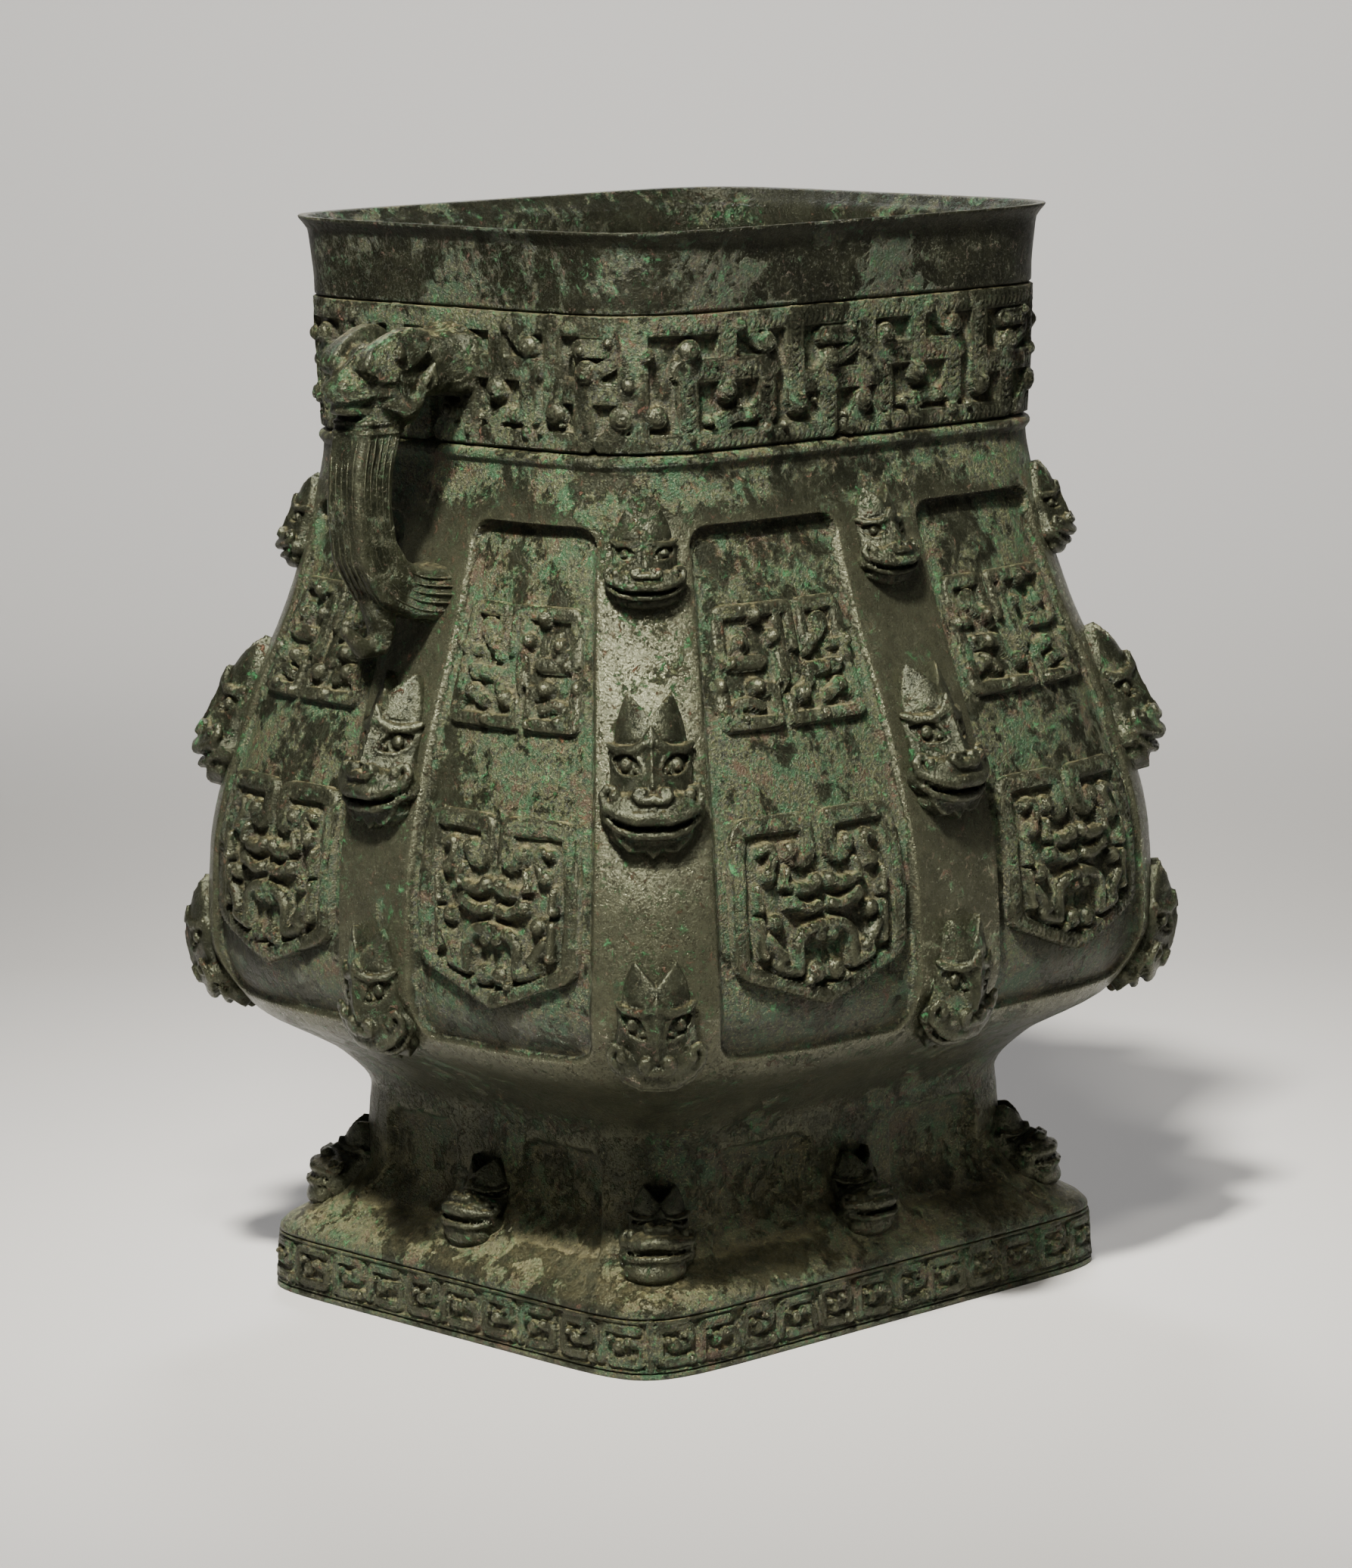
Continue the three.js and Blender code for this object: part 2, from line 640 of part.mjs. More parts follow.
// Stations of the loop: reach, height, width across the face and thickness.
function loopStations() {
  const grip = gripReach;
  const [width, thick] = [handleWidth, handleThickness];
  const neck = wallReach(handleTopZ);
  const foot = wallReach(handleBottomZ);
  const level = (share) => mix(handleTopZ, handleBottomZ, share);
  return [
    [neck - rootSpread, level(0), rootWidth, thick + rootSpread],
    [neck + rootSpread / 4, level(0), rootWidth, thick + rootSpread],
    [mix(neck, grip, 0.35), level(0.01), mix(rootWidth, width, 0.5), thick + rootSpread / 2],
    [mix(neck, grip, 0.72), level(0.08), width, thick],
    [mix(neck, grip, 0.93), level(0.24), width, thick],
    [grip, level(0.44), width, thick],
    [grip, level(0.64), width, thick],
    [mix(foot, grip, 0.86), level(0.83), width, thick],
    [mix(foot, grip, 0.55), level(0.95), width, thick],
    [mix(foot, grip, 0.2), level(1), width * 1.1, thick],
    [foot - rootSpread, level(0.98), width * 1.25, thick * 1.15],
  ];
}

// A closed tube through stations in the handle's plane. Its section is a rectangle with cut corners.
const cornerCut = 0.55;

function planarTube(stations) {
  const centre = stations.map(([reach, z]) => new THREE.Vector2(reach, z));
  const rings = stations.map(([reach, z, width, thick], i) => {
    const ahead = centre[Math.min(i + 1, centre.length - 1)].clone();
    const way = ahead.sub(centre[Math.max(i - 1, 0)]).normalize();
    const [w, t] = [width / 2, thick / 2];
    const section = [
      [w * cornerCut, t], [w, t * cornerCut], [w, -t * cornerCut], [w * cornerCut, -t],
      [-w * cornerCut, -t], [-w, -t * cornerCut], [-w, t * cornerCut], [-w * cornerCut, t],
    ];
    return section.map(([across, out]) => new THREE.Vector3(reach - way.y * out, across, z + way.x * out));
  });
  return loftSolid(rings);
}

// A tapered blunt form between two stations, given as reach, across, z and half sizes.
function lump(from, to, sides = 6) {
  const ring = ({ at, width, height }) => Array.from({ length: sides }, (_, i) => {
    const angle = ((i + 0.5) * 2 * Math.PI) / sides;
    const way = new THREE.Vector3(...to.at).sub(new THREE.Vector3(...from.at)).normalize();
    const across = new THREE.Vector3(0, 1, 0).addScaledVector(way, -way.y).normalize();
    const up = way.clone().cross(across);
    return new THREE.Vector3(...at)
      .addScaledVector(across, Math.cos(angle) * width)
      .addScaledVector(up, Math.sin(angle) * height);
  });
  return loftSolid([ring(from), ring(to)]);
}

// The head's forms are shares of its own half width.
function headSolids() {
  const half = headWidth / 2;
  const at = (out, across, up) => [gripReach + out * half, across * half, handleTopZ + up * half];
  const skull = lump(
    { at: at(-2.05, 0, 0.18), width: half * 0.7, height: half * 0.66 },
    { at: at(-0.24, 0, 0), width: half, height: half * 0.72 },
  );
  const snout = lump(
    { at: at(-0.72, 0, -0.06), width: half * 0.95, height: half * 0.72 },
    { at: at(0.55, 0, -0.72), width: half * 0.62, height: half * 0.42 },
  );
  const pairs = [-1, 1].flatMap((side) => {
    const eye = new THREE.OctahedronGeometry(eyeRadius, 0);
    eye.translate(...at(-0.55, side * 0.8, 0.24));
    const horn = new THREE.CylinderGeometry(hornRadius, hornRadius, hornThickness, 6);
    horn.rotateX(Math.PI / 2 - side * hornLean);
    horn.translate(...at(-0.97, side * 0.55, 0.79));
    const ear = lump(
      { at: at(-1.1, side * 0.7, -0.12), width: earLength * 0.3, height: earLength * 0.46 },
      { at: at(-1.1 - earLength / half, side * 1.3, -0.18), width: earLength * 0.1, height: earLength * 0.22 }, 4,
    );
    return [toSolid(eye), toSolid(horn), ear];
  });
  return [skull, snout, ...pairs];
}

// The tail under the loop: a stem that ends in a short cross hook.
function spurSolids() {
  const at = (out, up) => [gripReach + out * spurLength, 0, handleBottomZ + up * spurLength];
  const stem = lump(
    { at: at(-0.4, 0.2), width: spurRadius * 1.3, height: spurRadius * 1.3 },
    { at: at(-0.65, -1), width: spurRadius, height: spurRadius },
  );
  const hook = lump(
    { at: at(-0.75, -0.9), width: spurRadius * 1.4, height: spurRadius },
    { at: at(-0.05, -0.75), width: spurRadius * 1.1, height: spurRadius * 0.8 },
  );
  return [stem, hook];
}

function handleSolid() {
  const clearance = [
    wallLoft(bodyRows, wallColumns, false, jointGap),
    wallLoft(neckRows.map(({ z, lift }) => row(z, Math.max(lift, 0))), bandColumns, false, jointGap),
  ];
  return joined([planarTube(loopStations()), ...headSolids(), ...spurSolids()]).subtract(joined(clearance));
}

const bronze = new THREE.MeshStandardMaterial({ color: 0x4d5a44, roughness: 0.62, metalness: 0.55 });
const handleBronze = new THREE.MeshStandardMaterial({ color: 0x4a5544, roughness: 0.55, metalness: 0.6 });

function named(name, solid, material) {
  const mesh = new THREE.Mesh(toGeometry(solid), material);
  mesh.name = name;
  return mesh;
}

const handle = handleSolid();
const object = new THREE.Group();
object.add(named('vessel', vesselSolid(), bronze));
object.add(named('handle_right', handle, handleBronze));
object.add(named('handle_left', handle.rotate([0, 0, 180]), handleBronze));

export default object;
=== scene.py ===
import math

import bpy
import mathutils
import numpy as np
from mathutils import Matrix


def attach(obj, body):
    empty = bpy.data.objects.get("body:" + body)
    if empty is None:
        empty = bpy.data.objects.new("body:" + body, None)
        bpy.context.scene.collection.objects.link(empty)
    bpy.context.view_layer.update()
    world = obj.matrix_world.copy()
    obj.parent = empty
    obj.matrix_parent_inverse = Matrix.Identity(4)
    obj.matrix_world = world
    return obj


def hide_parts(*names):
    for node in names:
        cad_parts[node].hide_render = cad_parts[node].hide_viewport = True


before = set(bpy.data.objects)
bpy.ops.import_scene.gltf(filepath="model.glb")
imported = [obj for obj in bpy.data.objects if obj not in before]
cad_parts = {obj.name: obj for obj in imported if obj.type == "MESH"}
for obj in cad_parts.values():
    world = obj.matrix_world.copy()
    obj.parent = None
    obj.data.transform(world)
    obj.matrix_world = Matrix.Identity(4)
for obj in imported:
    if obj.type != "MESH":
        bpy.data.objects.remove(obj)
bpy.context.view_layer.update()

# %% [markdown]
# A square bronze wine vessel, cast in piece moulds some 2,500 years ago. Its relief was pressed
# into the clay moulds, so it stands on the wall as one skin with it. The scene repeats the CAD's
# profile in millimetres, hangs every ornament on it, and leaves the finish to one bronze.

# %% Sizes of the vessel, in millimetres
MM = 0.001
FOOT_EDGE = 23.5
WAIST = 76.0
RIDGE = 320.0
LIP = 400.0
PANEL_TOP = RIDGE - 22
PANEL_BOTTOM = WAIST + 39
FOOT_PANEL = FOOT_EDGE + 11
BAND_TOP = LIP - 29
BAND_BOTTOM = RIDGE + 3
STRAP = 3.2
BEVEL = 3.4
LIP_WALL, NECK_WALL, FOOT_WALL, BODY_WALL = 3.0, 5.2, 6.2, 6.8
BOWL_FLOOR = WAIST + 5
NECK_SINK = 2.3
MIDDLE_STRAP = {0: 17.5, 1: 20.0}
CORNER_STRAP = (16.0, 22.0)
PLAQUE_SHARE = 0.82
rng = np.random.default_rng(7)


def mix(a, b, t):
    return a + (b - a) * t


def smooth(low, high, x):
    t = np.clip((x - low) / (high - low), 0, 1)
    return t * t * (3 - 2 * t)


print("vessel", LIP, "mm tall")

# %% [markdown]
# The wall's section is a rounded rectangle at every height. A superellipse draws it with one
# number for its squareness, and smooth slopes between a few levels give the pear shape without
# a bump. A table of points along the section lets any ornament be placed by face, distance and
# height, as a mould maker would lay it out on the model.

# %% The wall's profile and a table of its points
FOOT = ((250, 198), (216, 173))
UNDER = ((198, 308), (173, 284))
UPPER = ((308, 224), (284, 189))
NECK = ((224, 234), (189, 198))


def stage(z, sizes, share, squareness):
    width, depth = sizes
    return z, mix(*width, share) / 2, mix(*depth, share) / 2, squareness


def body(share):
    return WAIST + (RIDGE - WAIST) * share


def flare(share):
    return FOOT_EDGE + (WAIST - FOOT_EDGE) * share


PROFILE = np.array([
    stage(0, FOOT, 0, 10), stage(FOOT_EDGE, FOOT, 0.06, 10), stage(flare(0.18), FOOT, 0.5, 8.5),
    stage(flare(0.5), FOOT, 0.98, 7), stage(WAIST, FOOT, 1, 6), stage(body(0.065), UNDER, 0.25, 4.6),
    stage(body(0.14), UNDER, 0.78, 4), stage(body(0.245), UNDER, 1, 4), stage(body(0.375), UPPER, 0.025, 4),
    stage(body(0.575), UPPER, 0.27, 4), stage(body(0.76), UPPER, 0.64, 4.2),
    stage(body(0.93), UPPER, 0.91, 4.8), stage(RIDGE, UPPER, 1, 5.6), stage(BAND_TOP, NECK, 0, 6.5),
    stage(LIP - 6, NECK, 0.3, 6.5), stage(LIP, NECK, 1, 6.5),
])


def profile_slopes(z, v):
    step = np.diff(v) / np.diff(z)
    below, above = np.r_[step[0], step], np.r_[step, step[-1]]
    flat = below * above <= 0
    return np.where(flat, 0, 2 * below * above / np.where(flat, 1, below + above))


def sizes_at(z):
    z = np.clip(np.asarray(z, float), 0, LIP)
    levels = PROFILE[:, 0]
    i = np.clip(np.searchsorted(levels, z, side="right") - 1, 0, len(levels) - 2)
    rise = levels[i + 1] - levels[i]
    t = (z - levels[i]) / rise
    found = []
    for column in (1, 2, 3):
        v = PROFILE[:, column]
        bend = profile_slopes(levels, v)
        ease = t * t * (3 - 2 * t)
        found.append(mix(v[i], v[i + 1], ease) + t * (1 - t) ** 2 * rise * bend[i]
                     + t * t * (t - 1) * rise * bend[i + 1])
    return found


ROW = 0.5
COLUMNS = 481


def wall_table(inset=0.0):
    z = np.arange(0, LIP + ROW, ROW)
    a, b, n = sizes_at(z)
    a, b = a - inset, b - inset
    corner = np.arctan2(b, a)
    t = np.linspace(0, 1, 201)
    angle = np.concatenate([corner[:, None] * t, corner[:, None] + (math.pi / 2 - corner[:, None]) * t[1:]],
                           1)
    c = np.abs(np.cos(angle) / a[:, None]) ** n[:, None]
    s = np.abs(np.sin(angle) / b[:, None]) ** n[:, None]
    radius = (c + s) ** (-1 / n[:, None])
    x, y = radius * np.cos(angle), radius * np.sin(angle)
    run = np.concatenate([np.zeros((len(z), 1)), np.cumsum(np.hypot(np.diff(x), np.diff(y)), 1)], 1)
    even = np.linspace(0, 1, COLUMNS)
    px = np.array([np.interp(even * r[-1], r, v) for r, v in zip(run, x)])
    py = np.array([np.interp(even * r[-1], r, v) for r, v in zip(run, y)])
    along = np.stack([np.gradient(px, axis=1), np.gradient(py, axis=1), np.zeros_like(px)], -1)
    up = np.stack([np.gradient(px, ROW, axis=0), np.gradient(py, ROW, axis=0), np.ones_like(px)], -1)
    normal = np.cross(along, up)
    normal[:, 0, 1] = 0
    normal[:, -1, 0] = 0
    normal /= np.linalg.norm(normal, axis=-1, keepdims=True)
    level = np.stack([normal[..., 0], normal[..., 1]], -1)
    level /= np.linalg.norm(level, axis=-1, keepdims=True)
    return {"table": np.concatenate([px[..., None], py[..., None], normal, level], -1),
            "narrow": run[:, 200], "wide": run[:, -1] - run[:, 200]}


WALL = wall_table()


def face_half(face, z, wall=WALL):
    side = "narrow" if face % 4 == 0 else "wide"
    return np.interp(z, np.arange(len(wall[side])) * ROW, wall[side])


def wall_at(anchor, offset, z, lift=0.0, level=False, wall=WALL):
    """Points in mm. Anchors run round the section: 0 is the +X face's middle, 1 the next corner."""
    anchor, offset, z, lift = np.broadcast_arrays(anchor, offset, np.asarray(z, float), lift)
    narrow, wide = face_half(0, z, wall), face_half(2, z, wall)
    length = narrow + wide
    quarters = anchor // 2
    part = np.where(anchor % 2 == 0, 0, np.where(quarters % 2 == 0, narrow, wide))
    s = (quarters * length + part + offset) % (4 * length)
    k = np.minimum(np.floor(s / length), 3).astype(int)
    rest = s - k * length
    along = np.where(k % 2 == 0, rest, length - rest) / length * (COLUMNS - 1)
    j = np.clip(along.astype(int), 0, COLUMNS - 2)
    g = (along - j)[..., None]
    row = np.clip(z, 0, LIP) / ROW
    i = np.clip(row.astype(int), 0, len(wall["wide"]) - 2)
    f = (row - i)[..., None]
    table = wall["table"]
    v = mix(mix(table[i, j], table[i, j + 1], g), mix(table[i + 1, j], table[i + 1, j + 1], g), f)
    sx = np.where((k == 0) | (k == 3), 1, -1)
    sy = np.where(k < 2, 1, -1)
    way = np.stack([v[..., 5] * sx, v[..., 6] * sy, np.zeros_like(sx)], -1) if level else \
        np.stack([v[..., 2] * sx, v[..., 3] * sy, v[..., 4]], -1)
    way = way / np.linalg.norm(way, axis=-1, keepdims=True)
    return np.stack([v[..., 0] * sx, v[..., 1] * sy, z], -1) + way * lift[..., None]


def depth_in_wall(p):
    a, b, n = sizes_at(p[:, 2])
    f = (np.abs(p[:, 0] / a) ** n + np.abs(p[:, 1] / b) ** n) ** (1 / n)
    return (1 - f) * np.hypot(p[:, 0], p[:, 1])


def corner_strap(z):
    return mix(*CORNER_STRAP, np.clip((PANEL_TOP - z) / (PANEL_TOP - body(0.245)), 0, 1))


def panel_run(face, z):
    inner = MIDDLE_STRAP[(face // 2) % 2]
    outer = face_half(face, z) - corner_strap(z)
    return (inner + outer) / 2, (outer - inner) / 2


print("belly girth", round(4 * float(face_half(0, body(0.3)) + face_half(2, body(0.3)))), "mm")

# %% [markdown]
# Cast bronze that has lain in the ground is never smooth: the skin is pitted, and crusts of
# corrosion stand on it. A seeded value noise gives the wall those small swells, and a mesh
# maker stores how hollow or how worn each point is, so that the finish can gather earth in the
# hollows, paint shade into them, and polish on the edges.

# %% Noise, and meshes that know their hollows
def hashed(i, j, k, seed):
    h = (i * 374761393 + j * 668265263 + k * 2147483647 + seed * 1274126177) & 0xFFFFFFFF
    h = ((h ^ (h >> 13)) * 1274126177) & 0xFFFFFFFF
    return ((h ^ (h >> 16)) & 0xFFFF) / 65535.0


def noise(p, size, seed=0, octaves=2):
    total, weight, share = 0.0, 0.0, 1.0
    for octave in range(octaves):
        q = p / size * 2 ** octave
        base = np.floor(q).astype(np.int64)
        f = q - base
        f = f * f * (3 - 2 * f)
        value = 0.0
        for corner in range(8):
            d = np.array([corner & 1, (corner >> 1) & 1, corner >> 2])
            w = np.prod(np.where(d, f, 1 - f), -1)
            value = value + w * hashed(*(base + d).T, seed + octave)
        total = total + value * share
        weight += share
        share *= 0.5
    return total / weight * 2 - 1


def averaged(values, faces, count, times):
    """Each point moved to the mean of its neighbours, a number of times."""
    start = faces.ravel()
    end = np.roll(faces, -1, 1).ravel()
    a, b = np.r_[start, end], np.r_[end, start]
    n = np.maximum(np.bincount(a, minlength=count), 1)
    for _ in range(times):
        values = np.stack([np.bincount(a, values[b, c], count) for c in range(values.shape[1])],
                          1) / n[:, None]
    return values


pieces = []


def make_piece(name, points, quads, tris=None, heights=None, reach=10, depth=0.45, rubbed=0.0):
    """A mesh piece from points in mm. heights stand over the plain wall, where there is one."""
    used = np.unique(np.concatenate([quads.ravel()] + ([tris.ravel()] if tris is not None else [])))
    slot = np.full(len(points), -1)
    slot[used] = np.arange(len(used))
    points, quads = points[used], slot[quads]
    tris = slot[tris] if tris is not None else np.zeros((0, 3), int)
    rubbed = rubbed[used] if np.ndim(rubbed) else rubbed
    mesh = bpy.data.meshes.new(name)
    mesh.vertices.add(len(points))
    mesh.vertices.foreach_set("co", (points * MM).astype(np.float32).ravel())
    loops = np.concatenate([quads.ravel(), tris.ravel()]).astype(np.int32)
    mesh.loops.add(len(loops))
    mesh.loops.foreach_set("vertex_index", loops)
    sizes = np.r_[np.full(len(quads), 4), np.full(len(tris), 3)]
    mesh.polygons.add(len(sizes))
    mesh.polygons.foreach_set("loop_start", np.r_[0, np.cumsum(sizes)[:-1]].astype(np.int32))
    mesh.update(calc_edges=True)
    mesh.validate()
    mesh.polygons.foreach_set("use_smooth", np.ones(len(mesh.polygons), bool))
    mesh.update()
    normals = np.zeros(len(points) * 3, np.float32)
    mesh.vertex_normals.foreach_get("vector", normals)
    normals = normals.reshape(-1, 3)
    if heights is None:
        hollow = np.sum((averaged(points, quads, len(points), reach) - points) * normals, 1) / depth
    else:
        h = heights[used][:, None]
        hollow = (averaged(h, quads, len(points), reach) - h)[:, 0] / depth
    hollow = np.nan_to_num(averaged(hollow[:, None], quads, len(points), 1)[:, 0])
    for label, value in (("hollow", hollow), ("worn", rubbed - 0.3 * hollow)):
        layer = mesh.attributes.new(label, "FLOAT", "POINT")
        layer.data.foreach_set("value", np.clip(value, 0, 1).astype(np.float32))
    obj = bpy.data.objects.new(name, mesh)
    bpy.context.scene.collection.objects.link(obj)
    pieces.append(obj)
    print(name, "triangles", 2 * len(quads) + len(tris))
    return obj


def grid_quads(rows, columns, closed=False, flip=False):
    i = np.arange(rows - 1)[:, None]
    j = np.arange(columns if closed else columns - 1)[None, :]
    k = (j + 1) % columns
    q = np.stack(np.broadcast_arrays(i * columns + j, i * columns + k, (i + 1) * columns + k,
                                     (i + 1) * columns + j), -1).reshape(-1, 4)
    return q[:, ::-1] if flip else q


print("noise ready:", round(float(noise(np.zeros((1, 3)), 5.0)[0]), 3))

# %% [markdown]
# The body is one casting: strong straps stand 3 mm proud and frame pear-shaped panels, which
# made the thin wall stiff and gave the founder clean joints between mould pieces. Its mesh has
# columns that follow the strap edges, so the bevels stay crisp where the straps widen.

# %% The vessel's wall, inside and foot
# Columns on half a face: middle strap, bevel, panel, bevel, corner strap.
HALF_FACE = (8, 8, 30, 8, 10)


def panel_columns(z):
    """Offsets from the face's middle to its corner, for both kinds of face, at each height."""
    found = {}
    for kind in (0, 1):
        face = 2 * kind
        inner, full, outer = MIDDLE_STRAP[kind], face_half(face, z), corner_strap(z)
        breaks = [0 * z, inner + 0 * z, inner + BEVEL + 0 * z, full - outer - BEVEL, full - outer, full]
        runs = [mix(lo[:, None], hi[:, None], np.linspace(0, 1, n, endpoint=False))
                for lo, hi, n in zip(breaks[:-1], breaks[1:], HALF_FACE)]
        found[kind] = np.concatenate(runs + [full[:, None]], 1)
    return found


def panel_sink(kind, offset, z):
    """How far the wall is sunk: panels with rounded corners, a sharp top edge and soft bevels."""
    face = 2 * kind
    centre, half = panel_run(face, z)
    across = half - np.abs(offset - centre)
    deep = np.zeros(np.broadcast(offset, z).shape)
    panels = (PANEL_BOTTOM, PANEL_TOP, BEVEL, 0.8, 8.0), (FOOT_PANEL, WAIST - BEVEL, 2.2, BEVEL, 5.0)
    for low, high, low_bevel, high_bevel, r in panels:
        below, above = z - low, high - z
        near = np.minimum(below * BEVEL / low_bevel, above * BEVEL / high_bevel)
        du, dv = r - across, r - np.minimum(below, above)
        rounded = r - np.hypot(np.maximum(du, 0), np.maximum(dv, 0))
        soft = np.where(above < below, high_bevel * 1.6, low_bevel)
        inside = np.where((du > 0) & (dv > 0), rounded * BEVEL / soft, np.minimum(across, near))
        deep = np.maximum(deep, smooth(0, BEVEL, inside))
    deeper_top = 0.4 * smooth(PANEL_TOP - 16, PANEL_TOP, z) * (z <= PANEL_TOP)
    return STRAP * deep * (1 + (offset > 0) * deeper_top)


def ring(z, lift, columns=512, wall=WALL, point_z=None):
    """One closed ring of the neck, the foot or the inside, with even columns."""
    per = columns // 8
    offsets, anchors = [], []
    for anchor in range(0, 8, 2):
        full = face_half(anchor, z, wall)
        t = np.linspace(-1, 1, 2 * per, endpoint=False)
        offsets.append(t * full)
        anchors.append(np.full(2 * per, anchor))
    p = wall_at(np.concatenate(anchors), np.concatenate(offsets), z, lift, True, wall)
    if point_z is not None:
        p[:, 2] = point_z
    return p


def spaced(*stops):
    return np.unique(np.concatenate([np.linspace(a, b, n) for a, b, n in stops]).round(4))


body_z = spaced((FOOT_EDGE + 0.2, FOOT_PANEL, 5), (FOOT_PANEL, FOOT_PANEL + 5, 7),
                (FOOT_PANEL + 5, WAIST - 9, 9),
                (WAIST - 9, WAIST + 2, 7), (WAIST + 2, PANEL_BOTTOM - 2, 14),
                (PANEL_BOTTOM - 2, PANEL_BOTTOM + 8, 9),
                (PANEL_BOTTOM + 8, PANEL_TOP - 8, 50), (PANEL_TOP - 8, PANEL_TOP - 1.6, 6),
                (PANEL_TOP - 1.6, PANEL_TOP + 0.8, 7), (PANEL_TOP + 0.8, RIDGE - 3, 8))
half_columns = panel_columns(body_z)
anchors, offsets, kinds = [], [], []
for face in (0, 2, 4, 6):
    kind = (face // 2) % 2
    cols = half_columns[kind]
    whole = np.concatenate([-cols[:, :0:-1], cols[:, :-1]], 1)
    anchors.append(np.full(whole.shape, face))
    offsets.append(whole)
    kinds.append(np.full(whole.shape, kind))
anchors, offsets, kinds = (np.concatenate(v, 1) for v in (anchors, offsets, kinds))
zz = np.broadcast_to(body_z[:, None], offsets.shape)
sink = np.where(kinds == 0, panel_sink(0, np.abs(offsets), zz), panel_sink(1, np.abs(offsets), zz))
body_points = wall_at(anchors, offsets, zz, -sink, True)
COUNT = body_points.shape[1]
swell = noise(body_points.reshape(-1, 3), 14.0, 3, 3).reshape(sink.shape) * 0.25
fine = noise(body_points.reshape(-1, 3), 3.5, 9, 2).reshape(sink.shape) * mix(0.10, 0.26, smooth(0.5, 2.5, sink))
outward = wall_at(anchors, offsets, zz, 1.0) - wall_at(anchors, offsets, zz)
body_points = body_points + outward * (swell + fine)[..., None]

inner_wall = {inset: wall_table(inset) for inset in (LIP_WALL, NECK_WALL, FOOT_WALL, BODY_WALL)}
# Heights of the plain rings with how far each stands out: the foot's edge, its band and the step
# above it; then the ridge, the sunk neck band, and the collar up to the lip.
foot_rings = ((0, -1.2), (0.0, -0.3), (0.4, 0.0), (1.9, 0.0), (2.1, -1.6), (FOOT_EDGE - 2.1, -1.6),
              (FOOT_EDGE - 1.9, 0.0), (FOOT_EDGE - 1.1, 0.15), (FOOT_EDGE - 0.2, 0.0))
neck_rings = ((RIDGE - 2.6, 0.25), (RIDGE - 1.6, 1.0), (RIDGE - 0.6, 1.65), (RIDGE + 0.6, 1.6),
              (RIDGE + 1.6, 0.9), (RIDGE + 2.4, -0.6), (BAND_BOTTOM, -2.2), (BAND_BOTTOM + 2, -NECK_SINK),
              (BAND_BOTTOM + 24, -NECK_SINK), (BAND_TOP - 1.5, -NECK_SINK), (BAND_TOP - 0.4, -2.2),
              (BAND_TOP + 0.2, -0.9), (BAND_TOP + 0.8, -0.2))
lip_rings = [(LIP - drop, 0.0) for drop in (27, 23, 19, 15, 11, 7.5, 5, 2.8,
                                            1.2)] + [(LIP - 0.4, -0.25), (LIP, -0.8)]
low = [ring(z, lift) for z, lift in foot_rings]
high = [ring(z, lift) for z, lift in (*neck_rings, *lip_rings)]
collar_start = len(neck_rings) - 1
for p in high[collar_start:]:
    p += (p * np.array([1, 1, 0]) / 100) * (noise(p, 9.0, 4, 2) * 0.22)[:, None]


def half_ring(z, wall, lift=0, point_z=None):
    return ring(z, lift, COUNT // 2, inner_wall[wall], point_z)


def stitched(first, second, flip=False):
    """Faces between a full ring that starts at one index and a half ring at another."""
    j = np.arange(COUNT // 2)
    a, b = first + 2 * j, first + 2 * j + 1
    c, d = first + (2 * j + 2) % COUNT, second + (j + 1) % (COUNT // 2)
    quads, tris = np.stack([b, c, d, second + j], 1), np.stack([a, b, second + j], 1)
    return (quads[:, ::-1], tris[:, ::-1]) if flip else (quads, tris)


def fan(first, count, middle, flip=False):
    j = first + np.arange(count)
    tris = np.stack([j, np.roll(j, -1), np.full(count, middle)], 1)
    return tris[:, ::-1] if flip else tris


inside = [half_ring(z, LIP_WALL) for z in (LIP - 0.2, LIP - 1, LIP - 4)]
inside += [half_ring(z, NECK_WALL) for z in (LIP - 7, LIP - 15, BAND_TOP, 350, 330)]
inside += [half_ring(z, BODY_WALL) for z in np.r_[np.linspace(315, 100, 30), np.linspace(96, 86, 5)]]
inside += [half_ring(BOWL_FLOOR + 1.5, BODY_WALL, -2.5), half_ring(81.2, BODY_WALL, -7, 81.1),
           half_ring(BOWL_FLOOR, BODY_WALL, -14, BOWL_FLOOR)]
under = [half_ring(z, FOOT_WALL) for z in (0, 4, 10, 16, 22, 28)]
under += [half_ring(z, BODY_WALL) for z in (34, 44, 54, 64, 71)]
under += [half_ring(WAIST - 2, BODY_WALL, -2.5), half_ring(WAIST - 0.2, BODY_WALL, -8, WAIST)]
outer = low + list(body_points) + high
points = np.concatenate(outer + inside + [[[0, 0, BOWL_FLOOR]]] + under + [[[0, 0, WAIST]]])
heights, rubbed = np.zeros(len(points)), np.zeros(len(points))
body_start, body_end = len(low) * COUNT, (len(low) + len(body_points)) * COUNT
heights[body_start:body_end] = (swell + fine - sink).ravel()
handled = smooth(60, 130, zz) * (1 - smooth(285, 312, zz))
rubbed[body_start:body_end] = (0.6 * (1 - sink / STRAP) * handled).ravel()
rim = (len(outer) - 1) * COUNT
inner = len(outer) * COUNT
floor = inner + len(inside) * COUNT // 2
below = floor + 1
ceiling = below + len(under) * COUNT // 2
lip, foot = stitched(rim, inner), stitched(0, below, True)
quads = [grid_quads(len(outer), COUNT, closed=True), inner + grid_quads(len(inside), COUNT // 2, closed=True),
         below + grid_quads(len(under), COUNT // 2, closed=True, flip=True), lip[0], foot[0]]
tris = [lip[1], foot[1], fan(floor - COUNT // 2, COUNT // 2, floor),
        fan(ceiling - COUNT // 2, COUNT // 2, ceiling, True)]
